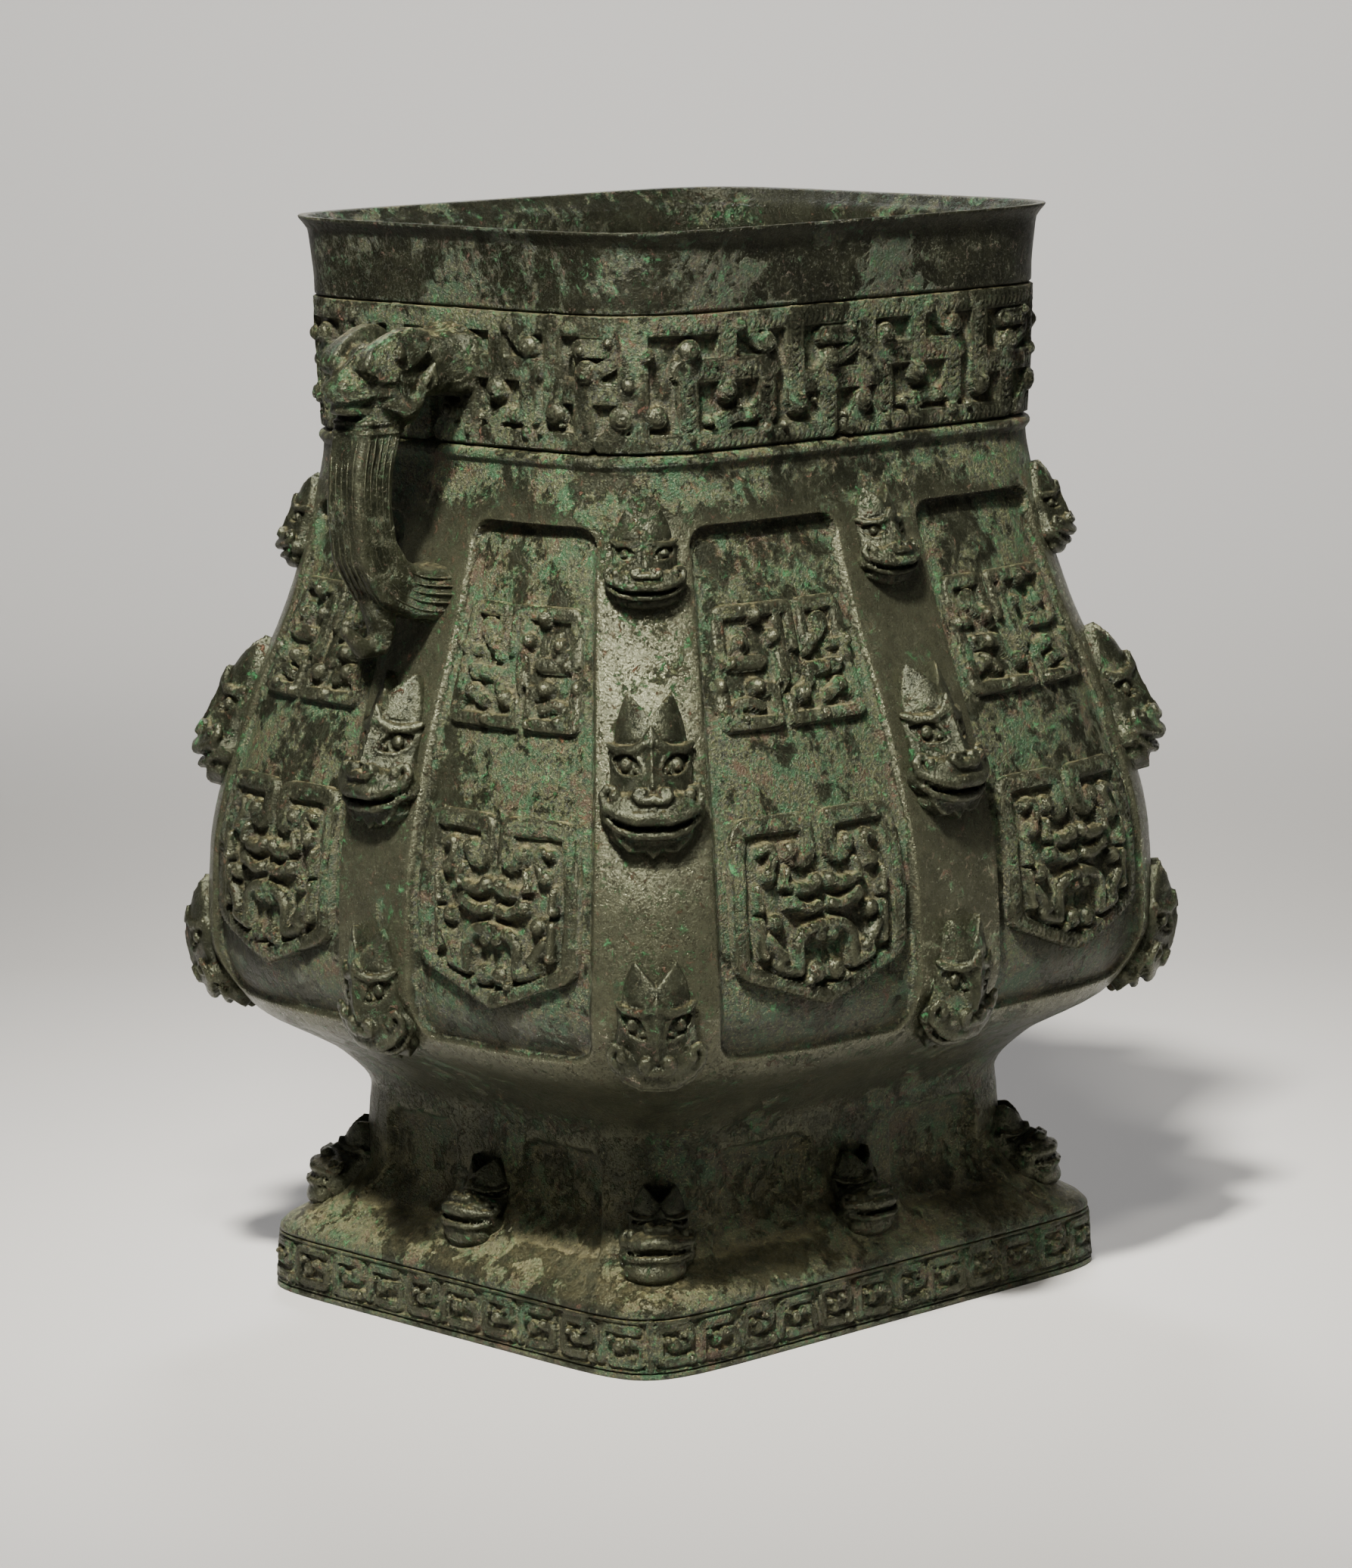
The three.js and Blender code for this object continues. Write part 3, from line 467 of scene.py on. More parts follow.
vessel_wall = make_piece("vessel_wall", points, np.concatenate(quads), np.concatenate(tris), heights, 6, 0.5,
                         rubbed)
print("columns", COUNT, "rows", len(outer), "inside", len(inside), "under", len(under))

# %% [markdown]
# The ornament was carved in the mould, so every motif is a band, a boss or an incised line. A
# small drawing board works the same way: it holds heights over a flat area in millimetres and
# lays bands, bosses and cuts on it. The finished board is bent onto the wall as one skin.

# %% A drawing board for relief
def eased(points, radius):
    """The same line with its corners rounded."""
    points = [np.asarray(p, float) for p in points]
    out = [points[0]]
    for a, b, c in zip(points[:-2], points[1:-1], points[2:]):
        start = b + (a - b) * min(radius / (np.linalg.norm(a - b) + 1e-9), 0.5)
        end = b + (c - b) * min(radius / (np.linalg.norm(c - b) + 1e-9), 0.5)
        out += [start * (1 - t) ** 2 + b * 2 * t * (1 - t) + end * t * t for t in (0, 0.35, 0.65, 1)]
    return out + [points[-1]]


class Board:
    def __init__(self, width, height, pitch, ground=0.0):
        self.u, self.v = np.meshgrid(np.linspace(0, width, max(int(width / pitch), 8) + 1),
                                     np.linspace(0, height, max(int(height / pitch), 8) + 1))
        self.h = np.full(self.u.shape, float(ground))
        self.ground = ground

    def near(self, points, reach):
        """The part of the board that the points and their reach cover."""
        p = np.asarray(points, float).reshape(-1, 2)
        cols = np.nonzero((self.u[0] > p[:, 0].min() - reach) & (self.u[0] < p[:, 0].max() + reach))[0]
        rows = np.nonzero((self.v[:, 0] > p[:, 1].min() - reach) & (self.v[:, 0] < p[:, 1].max() + reach))[0]
        if len(cols) == 0 or len(rows) == 0:
            return None
        return slice(rows[0], rows[-1] + 1), slice(cols[0], cols[-1] + 1)

    def along(self, area, points):
        """Distance from a bent line, and the way gone along it."""
        u, v = self.u[area], self.v[area]
        best, run, gone = np.full(u.shape, 1e9), np.zeros(u.shape), 0.0
        for (ax, ay), (bx, by) in zip(points[:-1], points[1:]):
            dx, dy = bx - ax, by - ay
            length = math.hypot(dx, dy) + 1e-9
            t = np.clip(((u - ax) * dx + (v - ay) * dy) / length ** 2, 0, 1)
            d = np.hypot(u - ax - t * dx, v - ay - t * dy)
            closer = d < best
            best, run = np.where(closer, d, best), np.where(closer, gone + t * length, run)
            gone += length
        return best, run

    def band(self, points, half, top, hatch=0.0, line=True, edge=0.9, bend=2.5, back=False):
        """A ribbon along a line: flat with soft edges, or with a round back, and cut if asked."""
        points = eased(points, bend)
        area = self.near(points, half + 0.5)
        if area is None:
            return
        d, run = self.along(area, points)
        rise = np.sqrt(np.clip(1 - (d / half) ** 2, 0, 1)) if back else 1 - smooth(half - edge, half, d)
        h = mix(self.ground, top, rise)
        if line:
            h = h - 0.45 * np.exp(-((d - half + 1.5) / 0.42) ** 2)
        if hatch:
            wave = np.cos(2 * math.pi * (run + 0.55 * d) / hatch)
            h = h - 0.42 * smooth(0.2, 1.0, wave) * (1 - smooth(half - 2.3, half - 1.9, d))
        self.h[area] = np.maximum(self.h[area], h)

    def boss(self, u, v, radius, rise, coil=0.0):
        """A round knob, with a spiral on it if coil gives the turn's width."""
        area = self.near([(u, v)], radius * 1.3)
        if area is None:
            return
        du, dv = self.u[area] - u, self.v[area] - v
        d = np.hypot(du, dv)
        dome = np.sqrt(np.clip(1 - (d / radius) ** 2, 0, 1))
        if coil:
            turn = np.cos(np.arctan2(dv, du) + 2 * math.pi * d / coil)
            dome = dome - 0.13 * smooth(0.0, 1.0, turn) * (d > 0.6) * (dome > 0.25)
        h = np.where(d < radius, self.ground + rise * dome, -99)
        self.h[area] = np.maximum(self.h[area], h)

    def coil(self, u, v, radius, deep=0.5, turn=1.7):
        """A spiral cut into what is there."""
        area = self.near([(u, v)], radius)
        if area is None:
            return
        du, dv = self.u[area] - u, self.v[area] - v
        d = np.hypot(du, dv)
        wave = np.cos(np.arctan2(dv, du) + 2 * math.pi * d / turn)
        self.h[area] -= deep * smooth(0.1, 0.9, wave) * (1 - smooth(radius - 0.5, radius, d))

    def cut(self, points, half, deep):
        """One incised line."""
        area = self.near(points, half * 3)
        if area is None:
            return
        d, _ = self.along(area, points)
        self.h[area] -= deep * np.exp(-(d / half) ** 2)

    def arc(self, u, v, radius, start, end, half, top):
        a = np.radians(np.linspace(start, end, 14))
        self.band(np.stack([u + radius * np.cos(a), v + radius * np.sin(a)], 1), half, top, line=False,
                  edge=0.7)


def crusted(points, amount, seed):
    grain = noise(points, 1.7, seed, 1) * 0.35 + noise(points, 6.0, seed + 5, 2) * 0.8
    return grain * amount


def bent(board, place, seed, crust=0.22, sink=0.5, edges=(True, True)):
    """Points in mm of a board that place() puts on the wall, with its border sunk in."""
    h = board.h.copy()
    anchor, offset, z = place(board.u, board.v)
    base = wall_at(anchor, offset, z)
    out = wall_at(anchor, offset, z, 1.0) - base
    flat = base.reshape(-1, 3)
    h = h + crusted(flat, crust, seed).reshape(h.shape)
    if edges[0]:
        h[:, 0] -= sink
        h[:, -1] -= sink
    if edges[1]:
        h[0] -= sink
        h[-1] -= sink
    return base + out * h[..., None], h


print("drawing board ready")

# %% [markdown]
# The neck carries a wide band of interlaced dragons, reduced to square hooks: broad flat ribbons
# with an incised border and hatching, spirals at the bends, and round bosses for the joints and
# eyes. It repeats twice on a face from one stamp, as foundry pattern blocks did, so the same
# motif comes back a little stretched on the wide faces.

# %% The neck's interlace band
NECK_TALL = BAND_TOP - BAND_BOTTOM
NECK_UNIT = 93.75
EIGHTH = 1 / 8
SHOWN_GRID = 0.6


def neck_unit(board, u0, width):
    """One repeat, drawn in eighths of a millimetre from its own top left corner."""
    def at(*pairs):
        return [(u0 + x * EIGHTH * width / NECK_UNIT, NECK_TALL - y * EIGHTH) for x, y in pairs]

    def band(pairs, half=3.7, hatch=2.5, top=2.9):
        board.band(at(*pairs), half + 0.8, top, hatch, edge=0.6)

    band([(80, 150), (80, 350)], 3.9)
    band([(62, 160), (385, 160)])
    band([(220, 40), (220, 170)])
    band([(365, 165), (365, 290)])
    band([(190, 312), (250, 288), (315, 296), (350, 262)], 2.3, 0, 2.5)
    band([(150, 345), (215, 330)], 1.8, 0, 2.3)
    band([(475, 30), (475, 258)], 3.9)
    band([(500, 217), (790, 217)], 3.4)
    band([(765, 30), (765, 217)])
    band([(592, 92), (690, 92)], 2.9)
    band([(700, 62), (722, 125), (650, 160)], 2.2, 0, 2.5)
    band([(605, 190), (605, 350)], 3.9)
    band([(745, 285), (692, 352)], 3.2, 0)
    band([(262, 42), (300, 60), (338, 95)], 2.4, 0, 2.6)
    for x, y, r in ((90, 105, 4.7), (365, 95, 4.6), (215, 217, 5.0), (485, 273, 5.0), (615, 160, 5.0),
                    (742, 285, 5.4)):
        board.boss(*at((x, y))[0], r, 5.0, 1.9)
    for x, y, r in ((360, 335, 3.3), (300, 292, 2.7), (85, 345, 2.4), (264, 40, 3.4), (600, 96, 2.4),
                    (425, 330, 2.0),
                    (700, 75, 2.2), (150, 300, 2.0)):
        board.boss(*at((x, y))[0], r, 4.4, 0)
    for x, y in ((80, 235), (80, 310), (475, 110), (475, 180), (765, 60), (765, 150), (605, 262), (605, 335),
                 (290, 160),
                 (140, 160), (670, 217), (555, 217), (365, 230), (120, 30), (520, 30), (690, 30), (330, 365),
                 (520, 365)):
        board.coil(*at((x, y))[0], 2.7, 0.42)
    for line in ([(150, 20), (230, 38)], [(150, 38), (230, 20)], [(560, 20), (650, 38)],
                 [(565, 38), (650, 22)],
                 [(480, 372), (570, 346)], [(485, 348), (570, 370)], [(70, 180), (92, 210)],
                 [(92, 180), (70, 210)]):
        board.cut(at(*line), 0.28, 0.5)


def neck_board(face, pitch):
    full = 2 * float(face_half(face, (BAND_TOP + BAND_BOTTOM) / 2))
    board = Board(full, NECK_TALL, pitch, 0.15)
    corner, after = 8.0, 5.0
    unit = (full - corner - after) / 2
    for u0 in (corner, corner + unit):
        neck_unit(board, u0, unit)
    top, bottom = NECK_TALL - 3.8, 3.2
    board.band([(-2, top), (full + 2, top)], 4.4, 2.7, 2.6)
    for u0 in (corner - unit, corner, corner + unit):
        board.band([(u0 - 2, bottom), (u0 + unit * 0.79, bottom)], 4.2, 2.8, 2.6)
    board.band([(u0 + unit * 0.9, bottom), (full + 2, bottom)], 4.2, 2.8, 2.6)
    for u in (0, full):
        board.band([(u, -2), (u, NECK_TALL + 2)], 4.0, 2.8, 0)
    board.boss(6.2, 12.5, 4.6, 4.9, 1.9)
    board.boss(2.6, 34.0, 3.4, 4.4)
    board.boss(full - 3.5, 24.0, 3.4, 4.4)
    for _ in range(26):
        board.boss(rng.uniform(4, full - 4), rng.uniform(5, NECK_TALL - 6), rng.uniform(0.7, 1.2), 3.3)
    return board, full


neck_parts = []
for face, pitch in ((0, 1.3), (2, 1.3), (4, SHOWN_GRID), (6, SHOWN_GRID)):
    board, full = neck_board(face, pitch)
    board.h -= NECK_SINK

    def neck_place(u, v, face=face, full=full):
        return face, (u / full * 2 - 1) * face_half(face, BAND_BOTTOM + v), BAND_BOTTOM + v

    neck_parts.append(bent(board, neck_place, 20, 0.34, 1.2, (False, True)))


def joined_piece(name, parts, reach=6, depth=0.4):
    points, heights, quads, start = [], [], [], 0
    for p, h in parts:
        points.append(p.reshape(-1, 3))
        heights.append(h.ravel())
        quads.append(start + grid_quads(*h.shape))
        start += h.size
    return make_piece(name, np.concatenate(points), np.concatenate(quads), None, np.concatenate(heights),
                      reach, depth)


neck_band = joined_piece("neck_band", neck_parts)
print("neck boards", [h.shape for _, h in neck_parts])

# %% [markdown]
# The foot's band is the same idea at half the scale, so its hooks are narrow and many. It sits
# low, where earth and lime gathered, and its relief is softer for it.

# %% The foot's hook band
FOOT_TALL = 19.4
FOOT_BOTTOM = 2.05
FOOT_UNIT = 41.0
FOOT_SINK = 1.7


def foot_unit(board, u0, k):
    def at(*pairs):
        return [(u0 + (x + rng.uniform(-0.5, 0.5)) * k, y + rng.uniform(-0.4, 0.4)) for x, y in pairs]

    for line in ([(2.5, 16.0), (16, 16.0), (16, 9.6), (10.5, 9.2)], [(2.2, 13.5), (2.2, 3.8), (13, 3.8)],
                 [(20.8, 4), (20.8, 15.6), (35, 15.6)], [(25, 3.8), (38.4, 3.8), (38.4, 10.8), (32, 11)]):
        board.band(at(*line), 2.2, 2.1, 1.5)
    for x, y, r in ((8.8, 9.6, 2.7), (28.2, 9.4, 2.8), (32.4, 11.2, 2.0), (5.6, 11.6, 1.6), (16.6, 4.2, 2.4),
                    (24.6, 12.0, 1.5), (12.6, 12.8, 1.5)):
        board.boss(*at((x, y))[0], r, 3.2, 1.5 if r > 2.5 else 0)
    for x, y in ((15, 15.6), (2.6, 4.4), (21, 15.2), (38, 4.6)):
        board.coil(*at((x, y))[0], 2.0, 0.4, 1.3)


foot_parts = []
for face, pitch in ((0, 1.1), (2, 1.1), (4, SHOWN_GRID), (6, SHOWN_GRID)):
    full = 2 * float(face_half(face, 12.0))
    board = Board(full, FOOT_TALL, pitch, 0.1)
    count = round(full / FOOT_UNIT)
    for i in range(count):
        foot_unit(board, 0.8 + i * full / count, (full / count) / FOOT_UNIT)
    board.band([(-2, 18.4), (full + 2, 18.4)], 1.1, 1.9, 0, False)
    for u in (0, full):
        board.band([(u, -2), (u, FOOT_TALL + 2)], 1.8, 2.0, 0, False)
    board.band([(-2, 0.8), (full + 2, 0.8)], 0.9, 1.9, 0, False)
    board.h -= FOOT_SINK

    def foot_place(u, v, face=face, full=full):
        return face, (u / full * 2 - 1) * face_half(face, FOOT_BOTTOM + v), FOOT_BOTTOM + v

    foot_parts.append(bent(board, foot_place, 40, 0.45, 0.9, (False, True)))
foot_band = joined_piece("foot_band", foot_parts, 6, 0.35)
print("foot boards", [h.shape for _, h in foot_parts])

# %% [markdown]
# Each panel holds two plaques. The upper is a square of two interlocked dragons, which grip each
# other by half a turn round a slot. The lower is a shield: a broad rim that curls in at a notch
# above and comes to a point below, round a beast's face. Bosses mark shoulders, eyes and joints.

# %% Square and shield plaques
SQUARE_TOP = RIDGE - 49
SQUARE_TALL = 42.0
SHIELD_TOP = RIDGE - 119
SHIELD_TALL = 68.0
GROUND = -0.6


def square_board(wide, pitch):
    """Drawn for the panel on the left of a strap: u runs to that strap, v up from the lower edge."""
    board = Board(wide + 3, SQUARE_TALL + 3, pitch, GROUND)

    def at(*pairs):
        return [(1.5 + x * wide, 1.5 + (1 - y) * SQUARE_TALL) for x, y in pairs]

    def band(pairs, half=2.4, top=2.6, hatch=2.3):
        board.band(at(*pairs), half + 0.55, top + 0.3, hatch, edge=1.0)

    frame_line = [(0.05, 0.06), (0.05, 0.94), (0.27, 0.94), (0.50, 0.94), (0.72, 0.94), (0.95, 0.94),
                  (0.95, 0.06), (0.72, 0.06), (0.28, 0.06), (0.05, 0.06)]
    board.band(at(*frame_line), 2.4, 1.2, 0, False)
    for x in np.linspace(0.12, 0.9, 9):
        board.band(at((x, 0.08), (x - 0.02, 0.92)), 4.0, 0.35, 0, False, 1.2)
    band([(0.575, 0.36), (0.575, 0.06), (0.045, 0.06), (0.045, 0.45), (0.12, 0.47), (0.31, 0.47)])
    band([(0.47, 0.16), (0.46, 0.62), (0.39, 0.72), (0.385, 0.95), (0.05, 0.95), (0.03, 0.64)])
    band([(0.42, 0.29), (0.47, 0.29)], 2.2)
    band([(0.24, 0.66), (0.36, 0.70)], 2.4)
    band([(0.13, 0.90), (0.10, 0.80), (0.20, 0.77), (0.27, 0.82)], 1.9, 2.5, 0)
    board.arc(*at((0.17, 0.31))[0], 3.6, -150, 90, 1.3, 2.2)
    band([(0.66, 0.42), (0.66, 0.06), (0.95, 0.06), (0.955, 0.30)])
    band([(0.955, 0.48), (0.955, 0.95), (0.46, 0.95), (0.47, 0.80)])
    band([(0.80, 0.20), (0.79, 0.30), (0.70, 0.36)], 2.2, 2.6, 0)
    board.arc(*at((0.80, 0.22))[0], 3.2, -60, 200, 1.3, 2.2)
    band([(0.965, 0.40), (0.85, 0.40)], 1.7, 2.3, 0)
    band([(0.66, 0.58), (0.86, 0.57)], 2.5, 2.4, 0)
    band([(0.56, 0.75), (0.64, 0.66)], 2.0, 2.4, 0)
    band([(0.74, 0.80), (0.84, 0.73), (0.93, 0.80)], 2.2, 2.6, 0)
    bosses = ((0.30, 0.10, 3.5, 5.2), (0.17, 0.31, 3.0, 4.8), (0.42, 0.29, 3.1, 5.2), (0.11, 0.47, 2.2, 4.2),
              (0.02, 0.64, 3.2, 5.0), (0.26, 0.66, 3.2, 5.2), (0.15, 0.91, 2.6, 4.4), (0.70, 0.36, 3.5, 5.4),
              (0.965, 0.40, 3.0, 5.0), (0.76, 0.58, 2.9, 4.6), (0.88, 0.55, 1.8, 4.4), (0.56, 0.76, 3.5, 5.4),
              (0.84, 0.73, 3.3, 5.2), (0.68, 0.94, 3.0, 5.0), (0.36, 0.95, 2.6, 4.6))
    for x, y, r, rise in bosses:
        board.boss(*at((x, y))[0], r, rise + 0.6, 1.8 if r > 3.3 else 0)
    for x, y in ((0.045, 0.25), (0.575, 0.12), (0.50, 0.06), (0.955, 0.86), (0.46, 0.45), (0.385, 0.88)):
        board.coil(*at((x, y))[0], 2.2, 0.4, 1.3)
    u, v = (board.u - 1.5) / wide, 1 - (board.v - 1.5) / SQUARE_TALL
    outside = np.maximum(np.abs(u - 0.5) * wide - wide / 2, np.abs(v - 0.5) * SQUARE_TALL - SQUARE_TALL / 2)

    def slot(at_u, past):
        return np.hypot(np.maximum(np.abs(u - at_u) * wide - 0.2, 0), np.maximum(past, 0) * SQUARE_TALL)

    slots = np.minimum(slot(0.617, v - 0.40), slot(0.425, 0.68 - v))
    board.h = mix(board.h, GROUND, np.maximum(smooth(-0.5, 0.9, outside), 1 - smooth(0.35, 1.1, slots)))
    return board


def shield_board(wide, pitch):
    """A beast's face in a rim that curls in at the top: both halves from one set of lines."""
    board = Board(wide + 4, SHIELD_TALL + 4, pitch, GROUND)
    half = wide / 2
    k = half / 37.0

    def at(side, *pairs):
        return [(2 + half + side * x * k, 2 + SHIELD_TALL - y) for x, y in pairs]

    for x in np.linspace(-28, 28, 9):
        board.band(at(1, (x, 8), (x * 0.92, SHIELD_TALL - 12 - abs(x) * 0.18)), 4.6, 0.5, 0, False, 1.4)
    rim = ((12.8, 13), (11.0, 16.6), (5.0, 16.6), (4.7, 4.6), (6.0, 3.7), (31.6, 3.6), (34.0, 5.4),
           (34.8, 12),
           (35.6, 30), (35.0, 51), (32.6, 54.4), (17, 60.6), (0, 65.4))
    limbs = ((((25.6, 12.3), (21.6, 10.8), (19.8, 14.4), (23.4, 20.3)), 2.3),
             (((12.6, 26.3), (6.7, 27.2), (2.6, 24.6)), 2.9),
             (((14.0, 31.3), (7.6, 34.6), (3.2, 33.2)), 2.6),
             (((12.2, 53.1), (12.7, 45), (8.5, 41.3), (2.0, 40.3)), 3.1),
             (((24.4, 43.1), (18.8, 49.6), (21.6, 53.0), (12.2, 55.0)), 2.8),
             (((27.5, 36.5), (26.8, 46.5)), 2.2), (((28.2, 24.5), (27.4, 31.0)), 2.0),
             (((15.5, 19.5), (17.5, 24.5)), 1.9))
    bosses = ((13.2, 13.2, 4.1), (23.6, 20.4, 3.7), (15.8, 25.0, 2.2), (3.2, 25.0, 3.5), (14.6, 31.3, 3.8),
              (21.4, 37.3, 3.8),
              (2.9, 43.6, 3.6), (4.6, 56.6, 4.4), (27.3, 31.6, 2.4), (26.6, 48.0, 2.6), (8.4, 59.0, 2.2),
              (18.6, 49.8, 3.0))
    for side in (-1, 1):
        board.band(at(side, *rim), 3.5, 3.1, 2.6, edge=0.8, bend=5)
        for line, wide_half in limbs:
            board.band(at(side, *line), wide_half + 0.1, 4.3, 0, False, back=True, bend=4.0)
        for x, y, r in bosses:
            place = at(side, (x + rng.uniform(-0.5, 0.5), y + rng.uniform(-0.4, 0.4)))[0]
            board.boss(*place, r, 5.4, 1.9 if r > 3.4 else 0)
        for x, y in ((5.0, 5), (33.0, 5), (35.4, 30), (20, 3.6)):
            board.coil(*at(side, (x, y))[0], 2.3, 0.4, 1.3)
    board.cut(at(1, (0, 45), (0, 62)), 0.5, 0.9)
    x, y = np.abs(board.u - 2 - half) / k, 2 + SHIELD_TALL - board.v
    side_line = np.interp(y, (0, 1.0, 3, 6, 22, 50, 54, 57, 61, 69),
                          (31.5, 34.5, 36.8, 38.2, 39.2, 38.8, 37.2, 33.0, 21.0, 0.0))
    outside = np.maximum(x - side_line, -y)
    notch = np.maximum(np.abs(x) - 0.9, y - 19.0)
    board.h = mix(board.h, GROUND, np.maximum(smooth(-0.4, 1.0, outside), 1 - smooth(-0.2, 0.7, notch)))
    return board


squares, shields = [], []
for face in (0, 2, 4, 6):
    for side in (-1, 1):
        shown = face in (4, 6)
        kinds = ((SQUARE_TOP, SQUARE_TALL, square_board, squares, SHOWN_GRID),
                 (SHIELD_TOP, SHIELD_TALL, shield_board, shields, 0.71))
        for top, tall, draw, found, pitch in kinds:
            wide = 2 * PLAQUE_SHARE * float(panel_run(face, top)[1])
            board = draw(wide, pitch if shown else 1.2)
            margin = (board.u.max() - wide) / 2
            top_run = panel_run(face, top)[1]

            def place(u, v, margin=margin, face=face, side=side, top=top, tall=tall, top_run=top_run,
                      wide=wide):
                z = top - tall + v - margin
                centre, half = panel_run(face, z)
                across = (u - margin - wide / 2) * half / top_run
                return face, side * (centre - across), z

            board.h -= STRAP
            p, h = bent(board, place, 60 + face + side, 0.32, 0.6)
            found.append((p, h) if side < 0 else (p[:, ::-1], h[:, ::-1]))
square_plaques = joined_piece("square_plaques", squares, 6, 0.45)
shield_plaques = joined_piece("shield_plaques", shields, 6, 0.45)
print("plaques", len(squares) + len(shields))

# %% [markdown]
# The masks and handle heads are small sculptures with undercuts, which no flat relief can hold.
# They are built as a modeller would in clay: balls, rolls and ridges pressed together, and eyes,
# mouth and spirals carved out. A net of quads is then drawn tight round the clay.

# %% Clay: forms that join, and the net round them
def ball(p, centre, radius):
    q = p - np.asarray(centre, float)
    r = np.broadcast_to(np.asarray(radius, float), (3,))
    k0 = np.sqrt(np.sum((q / r) ** 2, -1)) + 1e-9
    k1 = np.sqrt(np.sum((q / r ** 2) ** 2, -1)) + 1e-9
    return k0 * (k0 - 1) / k1


def roll(p, line, radii):
    """A bent roll of clay through points, with a radius at each."""
    radii = np.broadcast_to(np.asarray(radii, float), (len(line),))
    found = None
    for a, b, ra, rb in zip(line[:-1], line[1:], radii[:-1], radii[1:]):
        a, b = np.asarray(a, float), np.asarray(b, float)
        ab = b - a
        t = np.clip(((p - a) @ ab) / (ab @ ab), 0, 1)
        d = np.sqrt(np.sum((p - a - t[..., None] * ab) ** 2, -1)) - mix(ra, rb, t)
        found = d if found is None else np.minimum(found, d)
    return found


def hoop(p, centre, facing, radius, thick):
    q = p - np.asarray(centre, float)
    n = np.asarray(facing, float) / np.linalg.norm(facing)
    along = q @ n
    flat = np.sqrt(np.maximum(np.sum(q * q, -1) - along ** 2, 0))
    return np.hypot(flat - radius, along) - thick


def press(a, b, soft=0.0):
    if soft <= 0:
        return np.minimum(a, b)
    h = np.clip(0.5 + 0.5 * (b - a) / soft, 0, 1)
    return mix(b, a, h) - soft * h * (1 - h)


def carve(a, b, soft=0.0):
    return -press(-a, b, soft)


def net_round(field, origin, pitch):
    """Quads round the part of a grid where the field is below nothing."""
    inside = field < 0
    shape = np.array(field.shape) - 1
    cut = {}
    total, count = np.zeros((*shape, 3)), np.zeros(shape)
    for axis in range(3):
        a, b = np.delete(np.arange(3), axis)
        first = [slice(None)] * 3
        second = [slice(None)] * 3
        first[axis], second[axis] = slice(None, -1), slice(1, None)
        f0, f1 = field[tuple(first)], field[tuple(second)]
        crossing = (f0 < 0) != (f1 < 0)
        t = np.where(crossing, f0 / np.where(crossing, f0 - f1, 1), 0)
        cut[axis] = (crossing, f0 < 0)
        for da in (0, 1):
            for db in (0, 1):
                part = [slice(None)] * 3
                part[a] = slice(da, da + shape[a])
                part[b] = slice(db, db + shape[b])
                hit = crossing[tuple(part)]
                count += hit
                total[..., axis] += np.where(hit, t[tuple(part)], 0)
                total[..., a] += hit * da
                total[..., b] += hit * db
    mixed = count > 0
    number = np.full(mixed.shape, -1)
    number[mixed] = np.arange(mixed.sum())
    points = (np.argwhere(mixed) + total[mixed] / count[mixed][:, None]) * pitch + np.asarray(origin)
    quads = []
    for axis in range(3):
        a, b = (axis + 1) % 3, (axis + 2) % 3
        crossing, starts_in = cut[axis]
        at = np.argwhere(crossing)
        good = (at[:, a] > 0) & (at[:, b] > 0) & (at[:, a] < shape[a]) & (at[:, b] < shape[b])
        at = at[good]
        corners = []
        for da, db in ((1, 1), (0, 1), (0, 0), (1, 0)):
            c = at.copy()
            c[:, a] -= da
            c[:, b] -= db
            corners.append(number[c[:, 0], c[:, 1], c[:, 2]])
        q = np.stack(corners, 1)
        out = starts_in[at[:, 0], at[:, 1], at[:, 2]]
        quads += [q[out], q[~out][:, ::-1]]
    return points, np.concatenate(quads)


def clay_grid(low, high, pitch):
    axes = [np.arange(a, b + pitch, pitch) for a, b in zip(low, high)]
    return np.stack(np.meshgrid(*axes, indexing="ij"), -1)


print("clay ready")

# %% [markdown]
# A beast mask looks out from every strap at four heights: upright ears like leaves, slanting
# eyes, a straight nose that ends in two spirals, a broad smile with rolled ends, and a jaw that
# stands clear of the wall. One face serves all four sizes; the middle ones have a pointed chin.

# %% Thirty beast masks
MASKS = {
    "upper": (27.5, 36, 10.5, RIDGE - 33, False, 0.55), "middle": (35, 55, 15, RIDGE - 104, True, 0.66),
    "lower": (33, 48, 12, WAIST + 55, True, 0.70), "foot": (26, 33, 14, FOOT_EDGE + 22.5, False, 0.62),
}


